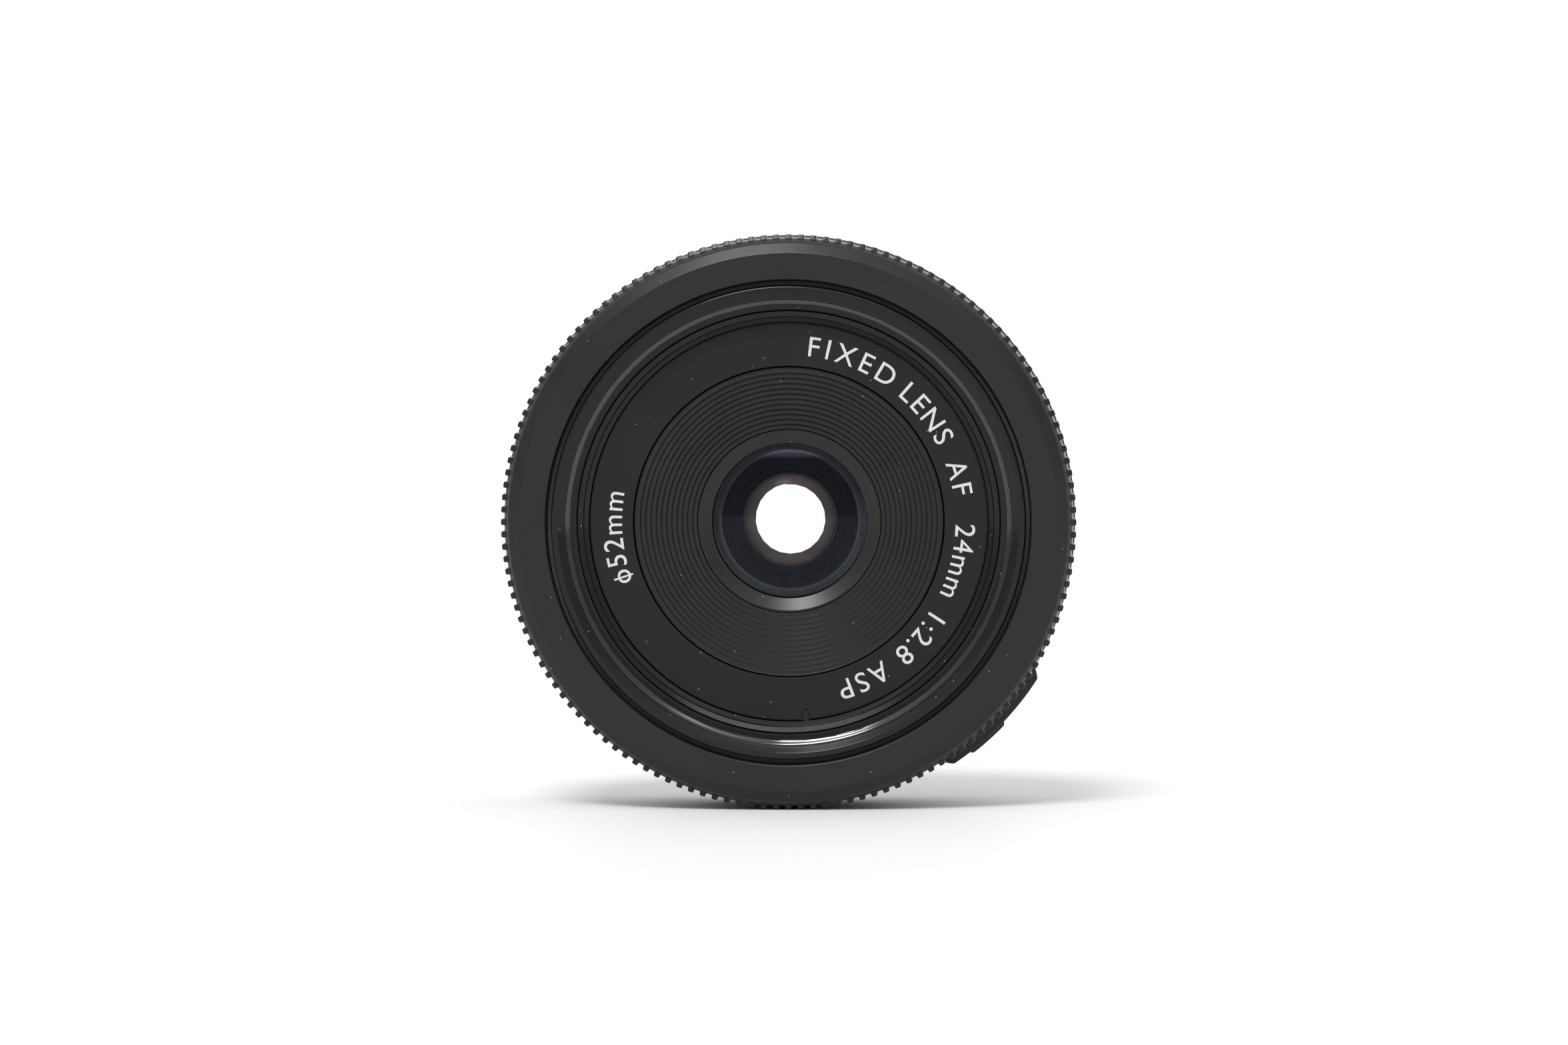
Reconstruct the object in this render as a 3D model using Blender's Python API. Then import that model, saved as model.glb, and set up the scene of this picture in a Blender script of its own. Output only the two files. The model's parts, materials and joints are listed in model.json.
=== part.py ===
"""A slim autofocus prime lens with a three-lug bayonet, built as an assembly of its separate pieces.

Dimensions are in millimetres, and MM turns them into metres when points are made.
Seen from the front, X points right and Z up, and the optical axis lies along Y.
u is a distance ahead of the bayonet flange, towards the subject, which is along -Y.
Angles are in degrees, anticlockwise from X as seen from the front.
"""
from math import asin, atan2, cos, degrees, hypot, pi, radians, sin, sqrt, tan

import bmesh
import bpy
from mathutils import Vector

MM = 0.001

# Overall size
RIB_TIP_R = 34.1
RIB_VALLEY_R = 33.74
RIB_COUNT = 144
FRONT_U = 22.8
REAR_U = -6.4
BARREL_R = 33.95
AXIS_HEIGHT = RIB_TIP_R
FLANGE_Y = (FRONT_U + REAR_U) / 2

# Facets round a turned piece
RING_STEPS = 48
FRONT_STEPS = 40
CAM_STEPS = 36
LENS_STEPS = 24
PIN_STEPS = 10

# Running fit between the focus ring and the barrel's sleeve, measured between their facets
RUNNING_GAP = 0.08
BARREL_SLEEVE_R = 32.1

# Focusing: the cam turns this far while the optical unit moves this far forward
CAM_TURN = 90.0
FOCUS_TRAVEL = 6.0
FOLLOWER_ANGLES = (30.0, 150.0, 270.0)
FOLLOWER_U = 6.2
FOLLOWER_R = 1.1
SLOT_GAP = 0.12
CARRIAGE_R = (18.9, 20.3)
GUIDE_R = (20.6, 21.6)
CAM_R = (21.75, 22.9)

# Focus gears
GEAR_MODULE = 0.4
CAM_TEETH = 120
IDLER_TEETH = 18
MOTOR_TEETH = 12
GEAR_U = (2.9, 4.5)
IDLER_ANGLE = 135.0
MOTOR_AXIS_R = 28.2

# AF/MF switch, which slides round the barrel
PAD_ANGLE = -44.35
PAD_TOP_R = 35.15
SWITCH_ANGLE = -47.9
SWITCH_TRAVEL = 7.1
INDEX_ANGLE = PAD_ANGLE + 90
CONTACT_ANGLE = INDEX_ANGLE + 180

# Bayonet: three lugs of different lengths, and four screws
LUG_CENTRES = (INDEX_ANGLE - 90, INDEX_ANGLE + 40, INDEX_ANGLE + 150)
LUG_LENGTHS = (56.0, 50.0, 62.0)
SCREW_CIRCLE_R = 29.6
MOUNT_SCREW_ANGLES = [INDEX_ANGLE + 45 + 90 * i for i in range(4)]
CONTACT_R = 22.0
CONTACT_SCREW_SIDES = (-28.0, 28.0)

# Iris
BLADE_COUNT = 7
STOP_R = 4.07
BLADE_OUTER_R = 6.9
PIVOT_R = 7.7
BLADE_SPAN = 150.0
BLADE_SWING = 27.0
IRIS_TURN = 20.0
BLADE_U = 6.6
BLADE_PITCH = 0.19
BLADE_THICKNESS = 0.12
IRIS_PIN_R = 0.28
DRIVE_PIN_ARM = 1.9
DRIVE_PIN_START = -10.0
IRIS_MODULE = 0.3
IRIS_TEETH = 68
IRIS_PINION_TEETH = 20
IRIS_RING_U = (8.05, 8.65)
IRIS_MOTOR_ANGLE = 90.0

SMOOTH_ANGLE = radians(30)
MERGE = 1e-7


# ---------------------------------------------------------------- scene and materials

def clear_scene():
    for thing in list(bpy.data.objects):
        bpy.data.objects.remove(thing)


def make_material(name, colour, roughness, metallic=0.0, transmission=0.0):
    material = bpy.data.materials.new(name)
    material.use_nodes = True
    shader = material.node_tree.nodes["Principled BSDF"]
    shader.inputs["Base Color"].default_value = (*colour, 1.0)
    shader.inputs["Roughness"].default_value = roughness
    shader.inputs["Metallic"].default_value = metallic
    shader.inputs["Transmission Weight"].default_value = transmission
    return material


clear_scene()
BODY_PLASTIC = make_material("body_plastic", (0.045, 0.045, 0.047), 0.5)
RIB_PLASTIC = make_material("rib_plastic", (0.04, 0.04, 0.042), 0.55)
RING_PAINT = make_material("name_ring_paint", (0.02, 0.02, 0.022), 0.6)
BAFFLE_BLACK = make_material("baffle_black", (0.03, 0.03, 0.032), 0.6)
INNER_PLASTIC = make_material("inner_plastic", (0.05, 0.05, 0.052), 0.6)
MOUNT_METAL = make_material("mount_metal", (0.75, 0.75, 0.76), 0.3, metallic=1.0)
SCREW_STEEL = make_material("screw_steel", (0.55, 0.55, 0.56), 0.35, metallic=1.0)
CAM_ALUMINIUM = make_material("cam_aluminium", (0.3, 0.3, 0.32), 0.4, metallic=1.0)
GOLD_CONTACT = make_material("gold_contact", (0.9, 0.68, 0.3), 0.25, metallic=1.0)
BRASS_GEAR = make_material("brass_gear", (0.75, 0.6, 0.3), 0.35, metallic=1.0)
SEAL_RUBBER = make_material("seal_rubber", (0.03, 0.03, 0.03), 0.8)
BOARD_GREEN = make_material("circuit_board", (0.05, 0.2, 0.1), 0.5)
BLADE_STEEL = make_material("iris_blade", (0.06, 0.06, 0.065), 0.4, metallic=0.5)
LENS_GLASS = make_material("lens_glass", (0.95, 0.97, 1.0), 0.02, transmission=1.0)
INDEX_WHITE = make_material("index_white", (0.85, 0.85, 0.85), 0.4)


# ---------------------------------------------------------------- points and placing

def point(radius, angle, u):
    """A place in the lens, from its distance off the axis, its angle and its distance ahead of the flange."""
    a = radians(angle)
    return Vector((radius * cos(a), -u, radius * sin(a))) * MM


def flat(radius, angle):
    """The same place seen from the front, in millimetres."""
    a = radians(angle)
    return radius * cos(a), radius * sin(a)


def spread(first, last, steps):
    return [first + (last - first) * i / steps for i in range(steps + 1)]


def make_axis():
    """The empty on the optical axis, level with the flange, that carries the whole lens."""
    axis = bpy.data.objects.new("optical_axis", None)
    axis.location = Vector((0, FLANGE_Y, AXIS_HEIGHT)) * MM
    bpy.context.scene.collection.objects.link(axis)
    return axis


OPTICAL_AXIS = make_axis()


def place(name, bm, material, centre=(0.0, 0.0)):
    """Makes the named object. centre is the radius and angle of its own axis, if it turns about one."""
    bmesh.ops.recalc_face_normals(bm, faces=bm.faces)
    mesh = bpy.data.meshes.new(name)
    bm.to_mesh(mesh)
    bm.free()
    mesh.materials.append(material)
    mesh.shade_smooth()
    mesh.set_sharp_from_angle(angle=SMOOTH_ANGLE)
    made = bpy.data.objects.new(name, mesh)
    made.parent = OPTICAL_AXIS
    made.location = point(centre[0], centre[1], 0)
    bpy.context.scene.collection.objects.link(made)
    return made


def combine(target, tool, operation):
    """Cuts or joins tool into target, and leaves tool as a hidden guide."""
    modifier = target.modifiers.new(tool.name, "BOOLEAN")
    modifier.operation = operation
    modifier.solver = "EXACT"
    modifier.object = tool
    tool.hide_render = True
    tool.display_type = "WIRE"
    return target


def cut(target, *tools):
    for tool in tools:
        combine(target, tool, "DIFFERENCE")
    return target


def join(target, *tools):
    for tool in tools:
        combine(target, tool, "UNION")
    return target


# ---------------------------------------------------------------- shapes

def turned(profile, steps):
    """A profile of (radius, u) points turned about the Y axis. One with both ends on the axis is solid."""
    bm = bmesh.new()
    verts = [bm.verts.new(point(radius, 0, u)) for radius, u in profile]
    pairs = list(zip(verts, verts[1:]))
    if min(radius for radius, _ in profile) > 0:
        pairs.append((verts[-1], verts[0]))
    edges = [bm.edges.new(pair) for pair in pairs]
    bmesh.ops.spin(bm, geom=verts + edges, cent=(0, 0, 0), axis=(0, 1, 0), dvec=(0, 0, 0),
                   angle=2 * pi, steps=steps, use_merge=True, use_duplicate=False)
    bmesh.ops.remove_doubles(bm, verts=bm.verts, dist=MERGE)
    return bm


def rod(radius, u_low, u_high, steps=PIN_STEPS):
    return turned([(0, u_low), (radius, u_low), (radius, u_high), (0, u_high)], steps)


def tube(inner, outer, u_low, u_high, steps=RING_STEPS):
    return turned([(inner, u_low), (outer, u_low), (outer, u_high), (inner, u_high)], steps)


def prism(outline, u_low, u_high):
    """An outline of (x, z) points extruded along the optical axis."""
    bm = bmesh.new()
    base = bm.faces.new([bm.verts.new(Vector((x, -u_low, z)) * MM) for x, z in outline])
    top = bmesh.ops.extrude_face_region(bm, geom=[base], use_keep_orig=True)
    moved = [v for v in top["geom"] if isinstance(v, bmesh.types.BMVert)]
    bmesh.ops.translate(bm, verts=moved, vec=Vector((0, u_low - u_high, 0)) * MM)
    return bm


def arc_outline(inner, outer, first, last, steps):
    angles = spread(first, last, steps)
    return [flat(outer, a) for a in angles] + [flat(inner, a) for a in reversed(angles)]


def arc_block(inner, outer, first, last, u_low, u_high, steps=6):
    return prism(arc_outline(inner, outer, first, last, steps), u_low, u_high)


def swept_bar(stations):
    """A bar through stations of four points each, with its two ends closed."""
    bm = bmesh.new()
    rows = [[bm.verts.new(p) for p in station] for station in stations]
    for low, high in zip(rows, rows[1:]):
        for i in range(4):
            j = (i + 1) % 4
            bm.faces.new((low[i], low[j], high[j], high[i]))
    bm.faces.new(rows[0])
    bm.faces.new(rows[-1])
    return bm


def saddle_block(foot, top, steps=8):
    """A raised block on a cylinder. foot and top: (radius, first angle, last angle, low u, high u)."""
    stations = []
    for foot_angle, top_angle in zip(spread(foot[1], foot[2], steps), spread(top[1], top[2], steps)):
        stations.append([point(foot[0], foot_angle, foot[3]), point(foot[0], foot_angle, foot[4]),
                         point(top[0], top_angle, top[4]), point(top[0], top_angle, top[3])])
    return swept_bar(stations)


def slot_on_cylinder(inner, outer, path, half_width):
    """A slot cutter that follows a path of (angle, u) points round a cylinder, with constant width."""
    middle = (inner + outer) / 2
    stations = []
    for i, (angle, u) in enumerate(path):
        before, after = path[max(i - 1, 0)], path[min(i + 1, len(path) - 1)]
        along = middle * radians(after[0] - before[0])
        ahead = after[1] - before[1]
        length = hypot(along, ahead)
        side_angle = degrees(-ahead / length * half_width / middle)
        side_u = along / length * half_width
        before = (angle - side_angle, u - side_u)
        after = (angle + side_angle, u + side_u)
        stations.append([point(inner, *before), point(outer, *before),
                         point(outer, *after), point(inner, *after)])
    return swept_bar(stations)


def slot_outline(path, half_width):
    """The outline of a flat slot that follows a path of (x, z) points, longer by its width at each end."""
    left, right = [], []
    last = len(path) - 1
    for i, (x, z) in enumerate(path):
        before, after = path[max(i - 1, 0)], path[min(i + 1, last)]
        dx, dz = after[0] - before[0], after[1] - before[1]
        length = hypot(dx, dz)
        dx, dz = dx / length * half_width, dz / length * half_width
        reach = {0: -1, last: 1}.get(i, 0)
        left.append((x + reach * dx - dz, z + reach * dz + dx))
        right.append((x + reach * dx + dz, z + reach * dz - dx))
    return left + right[::-1]


def gear_outline(teeth, module, phase, count=None):
    """Tooth points of a spur gear. phase is where its first tooth stands; count limits the teeth."""
    pitch_r = teeth * module / 2
    tip_r, root_r = pitch_r + 0.8 * module, pitch_r - 1.1 * module
    half = 0.21 * pi * module
    slope = tan(radians(20))
    marks = []
    for i in range(count or teeth):
        middle = phase + i * 360 / teeth
        for radius, side in ((root_r, -1), (tip_r, -1), (tip_r, 1), (root_r, 1)):
            width = half - (radius - pitch_r) * slope
            marks.append(flat(radius, middle + side * degrees(width / radius)))
    return marks


def meshing_phase(direction, phase, teeth, other_teeth):
    """The phase that puts a gear in mesh with another, from which it lies in this direction."""
    pitch = 360 / teeth
    offset = (phase - direction + pitch / 2) % pitch - pitch / 2
    gap = direction + 180 - offset * teeth / other_teeth
    return gap + 180 / other_teeth


def sag(radius, curvature):
    """How far a spherical surface drops at a radius, for a signed radius of curvature."""
    return curvature - sqrt(curvature * curvature - radius * radius) * (1 if curvature > 0 else -1)


def lens_profile(radius, front_u, front_curve, rear_u, rear_curve, rear_clear=None, rings=2):
    """A lens element. A positive curvature bulges to the front, on either surface.
    rear_clear is where a hollow rear surface meets its flat seat."""
    rear_clear = rear_clear or radius
    front = [(r, front_u - sag(r, front_curve)) for r in spread(0, radius, rings)]
    rear = [(r, rear_u - sag(r, rear_curve)) for r in spread(0, rear_clear, rings)]
    seat = [(radius, rear[-1][1])] if rear_clear < radius else []
    return front + seat + rear[::-1]


# ---------------------------------------------------------------- focus ring

def circle(radius, u, steps=RING_STEPS):
    return [point(radius, i * 360 / steps, u) for i in range(steps)]


def rib_outline(u):
    """The ribbed edge of the focus ring: a flat-topped rib and a flat valley, repeated."""
    pitch = 360 / RIB_COUNT
    tip, foot = 0.22 * pitch, 0.28 * pitch
    marks = []
    for i in range(RIB_COUNT):
        middle = i * pitch
        marks += [point(RIB_VALLEY_R, middle - foot, u), point(RIB_TIP_R, middle - tip, u),
                  point(RIB_TIP_R, middle + tip, u), point(RIB_VALLEY_R, middle + foot, u)]
    return marks


def stitch(bm, coarse, fine):
    """Joins two closed rings of points, where one has a whole number of times the points of the other."""
    if len(coarse) > len(fine):
        coarse, fine = fine, coarse
    share = len(fine) // len(coarse)
    for i, here in enumerate(coarse):
        ahead = coarse[(i + 1) % len(coarse)]
        if share == 1:
            bm.faces.new((here, ahead, fine[(i + 1) % len(fine)], fine[i]))
            continue
        fan = [fine[(i * share + k) % len(fine)] for k in range(share + 1)]
        middle = share // 2
        for k in range(share):
            bm.faces.new((here if k < middle else ahead, fan[k + 1], fan[k]))
        bm.faces.new((here, ahead, fan[middle]))


def make_focus_ring():
    bore = BARREL_SLEEVE_R + RUNNING_GAP
    loops = [circle(bore, 14.7), rib_outline(14.7), rib_outline(21.0)]
    loops += [circle(r, u) for r, u in (
        (33.2, 21.8), (31.95, 22.5), (28.8, 22.5), (28.6, 22.3), (28.6, 20.9),
        (bore, 20.9), (bore, 19.3), (32.8, 19.3), (32.8, 18.5), (bore, 18.5))]
    bm = bmesh.new()
    rings = [[bm.verts.new(p) for p in loop] for loop in loops]
    for first, second in zip(rings, rings[1:] + rings[:1]):
        stitch(bm, first, second)
    place("focus_ring", bm, RIB_PLASTIC)


def make_encoder_comb():
    """The toothed collar behind the ring's front lip that the ring sensor counts."""
    bm = tube(29.55, 30.15, 20.2, 20.7)
    rear = [f for f in bm.faces if all(abs(v.co.y + 20.2 * MM) < MERGE for v in f.verts)]
    rear.sort(key=lambda f: atan2(f.calc_center_median().z, f.calc_center_median().x))
    teeth = bmesh.ops.extrude_discrete_faces(bm, faces=rear[::2])
    for face in teeth["faces"]:
        bmesh.ops.translate(bm, verts=face.verts, vec=Vector((0, 0.9 * MM, 0)))
    place("encoder_comb", bm, INNER_PLASTIC)


# ---------------------------------------------------------------- main barrel and switch

def make_main_barrel():
    barrel = place("main_barrel", turned([
        (27.6, 1.5), (32.4, 1.5), (BARREL_R, 3.6), (BARREL_R, 14.4), (BARREL_SLEEVE_R, 14.4),
        (BARREL_SLEEVE_R, 18.6), (31.5, 18.6), (31.5, 19.2), (BARREL_SLEEVE_R, 19.2), (BARREL_SLEEVE_R, 19.8),
        (30.9, 19.8), (30.9, 13.2), (32.7, 13.2), (32.7, 2.6), (27.6, 2.6)], RING_STEPS), BODY_PLASTIC)
    pad = saddle_block((33.2, -58.6, -30.1, 5.0, 13.4), (PAD_TOP_R, -55.8, -32.7, 5.6, 12.8), steps=10)
    join(barrel, place("pad_guide", pad, BODY_PLASTIC))
    slot = saddle_block((32.0, -50.2, -38.5, 8.3, 10.1), (36.0, -50.2, -38.5, 8.3, 10.1))
    track = saddle_block((34.6, -53.4, -35.4, 7.1, 11.3), (36.5, -53.4, -35.4, 7.1, 11.3))
    cut(barrel, place("switch_slot_cutter", slot, BODY_PLASTIC))
    cut(barrel, place("switch_track_cutter", track, BODY_PLASTIC))
    for i, angle in enumerate(MOUNT_SCREW_ANGLES, 1):
        hole = rod(0.95, 1.0, 3.2)
        cut(barrel, place(f"barrel_screw_cutter_{i}", hole, BODY_PLASTIC, (SCREW_CIRCLE_R, angle)))


def make_switch():
    """The knob, with its stem through the slot and its foot under the wall, and the detent spring."""
    grip = saddle_block((34.75, SWITCH_ANGLE - 4.3, SWITCH_ANGLE + 4.3, 7.9, 10.5),
                        (35.6, SWITCH_ANGLE - 3.9, SWITCH_ANGLE + 3.9, 8.1, 10.3))
    knob = place("switch_knob", grip, BODY_PLASTIC)
    stem = saddle_block((31.9, SWITCH_ANGLE - 1.7, SWITCH_ANGLE + 1.7, 8.6, 9.8),
                        (35.0, SWITCH_ANGLE - 1.7, SWITCH_ANGLE + 1.7, 8.6, 9.8), steps=2)
    foot = saddle_block((31.6, SWITCH_ANGLE - 2.8, SWITCH_ANGLE + 2.8, 7.6, 10.8),
                        (32.2, SWITCH_ANGLE - 2.8, SWITCH_ANGLE + 2.8, 7.6, 10.8), steps=4)
    join(knob, place("switch_stem_guide", stem, BODY_PLASTIC), place("switch_foot_guide", foot, BODY_PLASTIC))
    place("switch_board", arc_block(30.2, 30.8, -57, -33, 6.0, 12.6), BOARD_GREEN)
    spring = place("detent_spring", arc_block(31.0, 31.15, -56, -34, 8.5, 9.9), SCREW_STEEL)
    bump = saddle_block((31.05, PAD_ANGLE - 1.2, PAD_ANGLE + 1.2, 8.6, 9.8),
                        (31.4, PAD_ANGLE - 0.5, PAD_ANGLE + 0.5, 8.6, 9.8), steps=2)
    join(spring, place("detent_bump_guide", bump, SCREW_STEEL))


def make_ring_parts():
    """The snap ring that holds the focus ring on, and the fork that its comb passes through."""
    place("focus_ring_clip", arc_block(31.62, 32.62, 100, 448, 18.68, 19.1, steps=46), SCREW_STEEL)
    fork = [(28.65, 20.0), (28.65, 17.6), (30.75, 17.6), (30.75, 20.0), (30.4, 20.0), (30.4, 19.0),
            (29.3, 19.0), (29.3, 20.0)]
    bm = bmesh.new()
    sides = [[bm.verts.new(point(r, a, u)) for r, u in fork] for a in (196, 204)]
    for i in range(len(fork)):
        j = (i + 1) % len(fork)
        bm.faces.new((sides[0][i], sides[0][j], sides[1][j], sides[1][i]))
    for side in sides:
        bm.faces.new(side)
    place("ring_sensor", bm, INNER_PLASTIC)


# ---------------------------------------------------------------- bayonet and rear

def make_bayonet():
    mount = place("bayonet_mount", turned([
        (23.9, 1.2), (32.3, 1.2), (32.3, 0.2), (32.1, 0), (25.35, 0), (25.35, -5.4), (25.1, -5.6),
        (23.9, -5.6)], FRONT_STEPS), MOUNT_METAL)
    for i, (middle, length) in enumerate(zip(LUG_CENTRES, LUG_LENGTHS), 1):
        lug = arc_block(24.6, 26.9, middle - length / 2, middle + length / 2, -3.1, -1.7, steps=4)
        join(mount, place(f"lug_guide_{i}", lug, MOUNT_METAL))
    for i, angle in enumerate(MOUNT_SCREW_ANGLES, 1):
        hole = turned([(0, -0.5), (1.6, -0.5), (1.6, 0.65), (0.9, 0.65), (0.9, 1.6), (0, 1.6)], PIN_STEPS)
        cut(mount, place(f"mount_screw_cutter_{i}", hole, MOUNT_METAL, (SCREW_CIRCLE_R, angle)))
    lock = arc_block(28.2, 30.6, INDEX_ANGLE - 98, INDEX_ANGLE - 92, -0.5, 1.6, steps=2)
    cut(mount, place("lock_slot_cutter", lock, MOUNT_METAL))
    place("index_mark", rod(0.75, -0.02, 0.5, steps=20), INDEX_WHITE, (SCREW_CIRCLE_R, INDEX_ANGLE))
    socket = rod(0.85, -0.5, 0.7, steps=20)
    cut(mount, place("index_cutter", socket, MOUNT_METAL, (SCREW_CIRCLE_R, INDEX_ANGLE)))


def make_screw(name, radius, head_u, head_r, head_height, shank_r, tip_u):
    """A screw driven in from behind, with a cross recess in its head."""
    profile = [(0, head_u), (head_r, head_u), (head_r, head_u + head_height), (shank_r, head_u + head_height),
               (shank_r, tip_u), (0, tip_u)]
    screw = place(name, turned(profile, PIN_STEPS), SCREW_STEEL, radius)
    long, short = 0.6 * head_r, 0.14 * head_r
    quarter = [(long, short), (short, short), (short, long)]
    cross = quarter + [(-x, z) for x, z in reversed(quarter)]
    cross += [(-x, -z) for x, z in quarter] + [(x, -z) for x, z in reversed(quarter)]
    recess = place(f"{name}_cutter", prism(cross, head_u - 0.3, head_u + 0.3 * head_r), SCREW_STEEL, radius)
    cut(screw, recess)


def make_screws():
    for i, angle in enumerate(MOUNT_SCREW_ANGLES, 1):
        make_screw(f"mount_screw_{i}", (SCREW_CIRCLE_R, angle), 0.06, 1.4, 0.5, 0.7, 2.5)
    for i, side in enumerate(CONTACT_SCREW_SIDES, 1):
        make_screw(f"contact_screw_{i}", (CONTACT_R, CONTACT_ANGLE + side), -5.45, 0.8, 0.35, 0.35, -4.2)


def make_rear():
    """The light baffle inside the bayonet, the rubber ring on it, and the contact block with its pins."""
    bezel = place("rear_bezel", turned([
        (12.4, -4.8), (23.6, -4.8), (23.6, 1.0), (22.8, 1.0), (22.8, -3.9), (13.2, -3.9), (13.2, -1.6),
        (12.4, -1.6)], CAM_STEPS), INNER_PLASTIC)
    for i, side in enumerate(CONTACT_SCREW_SIDES, 1):
        hole = rod(0.6, -5.2, -3.4)
        cut(bezel, place(f"bezel_screw_cutter_{i}", hole, INNER_PLASTIC, (CONTACT_R, CONTACT_ANGLE + side)))
    seal = turned([(16.2, -5.05), (19.6, -5.05), (19.6, -6.0), (19.2, REAR_U), (17.0, REAR_U)], CAM_STEPS)
    place("rear_rubber_ring", seal, SEAL_RUBBER)
    housing = arc_block(20.5, 23.6, CONTACT_ANGLE - 32, CONTACT_ANGLE + 32, -5.7, -5.05, steps=8)
    block = place("contact_block", housing, INNER_PLASTIC)
    window = arc_block(21.1, 22.9, CONTACT_ANGLE - 22, CONTACT_ANGLE + 22, -6.0, -4.9, steps=6)
    cut(block, place("contact_window_cutter", window, INNER_PLASTIC))
    for i, side in enumerate(CONTACT_SCREW_SIDES, 1):
        hole = rod(0.95, -6.0, -4.9)
        cut(block, place(f"block_screw_cutter_{i}", hole, INNER_PLASTIC, (CONTACT_R, CONTACT_ANGLE + side)))
    carrier = arc_block(21.35, 22.65, CONTACT_ANGLE - 21, CONTACT_ANGLE + 21, -5.5, -5.1, steps=6)
    strip = place("contact_strip", carrier, GOLD_CONTACT)
    for i in range(8):
        pin = rod(0.42, -5.9, -5.2, steps=8)
        pin_angle = CONTACT_ANGLE + (i - 3.5) * 5.2
        join(strip, place(f"contact_pin_guide_{i}", pin, GOLD_CONTACT, (CONTACT_R, pin_angle)))


def make_electronics():
    plate = arc_block(14.5, 22.2, CONTACT_ANGLE - 150, CONTACT_ANGLE + 120, 0.1, 0.9, steps=18)
    board = place("main_board", plate, BOARD_GREEN)
    for i, (angle, size) in enumerate(((-60, 5.0), (0, 3.4), (55, 4.2))):
        half = size / 2
        chip = prism([(-half, -half), (half, -half), (half, half), (-half, half)], 0.5, 1.4)
        join(board, place(f"chip_guide_{i}", chip, BOARD_GREEN, (18.0, CONTACT_ANGLE + angle)))
    place("flexible_circuit", arc_block(29.5, 29.7, -78, -35, 4.0, 12.0), BRASS_GEAR)


# ---------------------------------------------------------------- focus drive

def make_guide_barrel():
    guide = place("guide_barrel", turned([
        (GUIDE_R[0], 1.6), (27.2, 1.6), (27.2, 2.6), (GUIDE_R[1], 2.6), (GUIDE_R[1], 14.6),
        (GUIDE_R[0], 14.6)], CAM_STEPS), CAM_ALUMINIUM)
    reach = FOLLOWER_R + SLOT_GAP
    half = degrees(reach / GUIDE_R[0])
    for i, angle in enumerate(FOLLOWER_ANGLES, 1):
        low, high = FOLLOWER_U - reach, FOLLOWER_U + FOCUS_TRAVEL + reach
        slot = saddle_block((19.5, angle - half, angle + half, low, high),
                            (22.5, angle - half, angle + half, low, high), steps=2)
        cut(guide, place(f"guide_slot_cutter_{i}", slot, CAM_ALUMINIUM))


def make_cam_ring():
    """The cam ring: three helical slots that lead the followers forward, and the gear sector on its rim."""
    pitch_r = CAM_TEETH * GEAR_MODULE / 2
    rim_r = pitch_r - 1.1 * GEAR_MODULE
    cam = place("cam_ring", turned([
        (CAM_R[0], GEAR_U[0]), (rim_r, GEAR_U[0]), (rim_r, GEAR_U[1]), (CAM_R[1], GEAR_U[1]),
        (CAM_R[1], 14.2), (CAM_R[0], 14.2)], CAM_STEPS), CAM_ALUMINIUM)
    tooth = 360 / CAM_TEETH
    before, after = 33, 4
    first = IDLER_ANGLE - before * tooth
    teeth = gear_outline(CAM_TEETH, GEAR_MODULE, first, before + after + 1)
    inner = [flat(22.4, a) for a in spread(IDLER_ANGLE + after * tooth + 1, first - 1, 12)]
    join(cam, place("cam_teeth_guide", prism(teeth + inner, *GEAR_U), CAM_ALUMINIUM))
    reach = FOLLOWER_R + SLOT_GAP
    overrun = reach * cos(asin(FOCUS_TRAVEL / hypot(FOCUS_TRAVEL, radians(CAM_TURN) * 22.3))) / 22.3
    for i, angle in enumerate(FOLLOWER_ANGLES, 1):
        share = degrees(overrun) / CAM_TURN
        path = [(angle - CAM_TURN * t, FOLLOWER_U + FOCUS_TRAVEL * t) for t in spread(-share, 1 + share, 8)]
        cut(cam, place(f"cam_slot_cutter_{i}", slot_on_cylinder(21.0, 24.0, path, reach), CAM_ALUMINIUM))


def make_followers():
    for i, angle in enumerate(FOLLOWER_ANGLES, 1):
        profile = [(0, 19.4), (0.55, 19.4), (0.55, 20.42), (FOLLOWER_R, 20.42),
                   (FOLLOWER_R, 22.75), (0, 22.75)]
        pin = place(f"cam_follower_{i}", turned(profile, PIN_STEPS), BRASS_GEAR)
        pin.location = point(0, 0, FOLLOWER_U)
        pin.rotation_mode = "ZYX"
        pin.rotation_euler = (0, -radians(angle), radians(90))
        hole = place(f"follower_hole_{i}", rod(0.75, 18.0, 21.0), BRASS_GEAR)
        hole.location = pin.location
        hole.rotation_mode = pin.rotation_mode
        hole.rotation_euler = pin.rotation_euler
        cut(bpy.data.objects["focus_carriage"], hole)


def make_carriage():
    place("focus_carriage", turned([
        (CARRIAGE_R[0], 2.0), (CARRIAGE_R[1], 2.0), (CARRIAGE_R[1], 16.4), (CARRIAGE_R[0], 16.4),
        (CARRIAGE_R[0], 5.6), (9.2, 5.6), (9.2, 4.4), (CARRIAGE_R[0], 4.4)], LENS_STEPS), INNER_PLASTIC)


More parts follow.
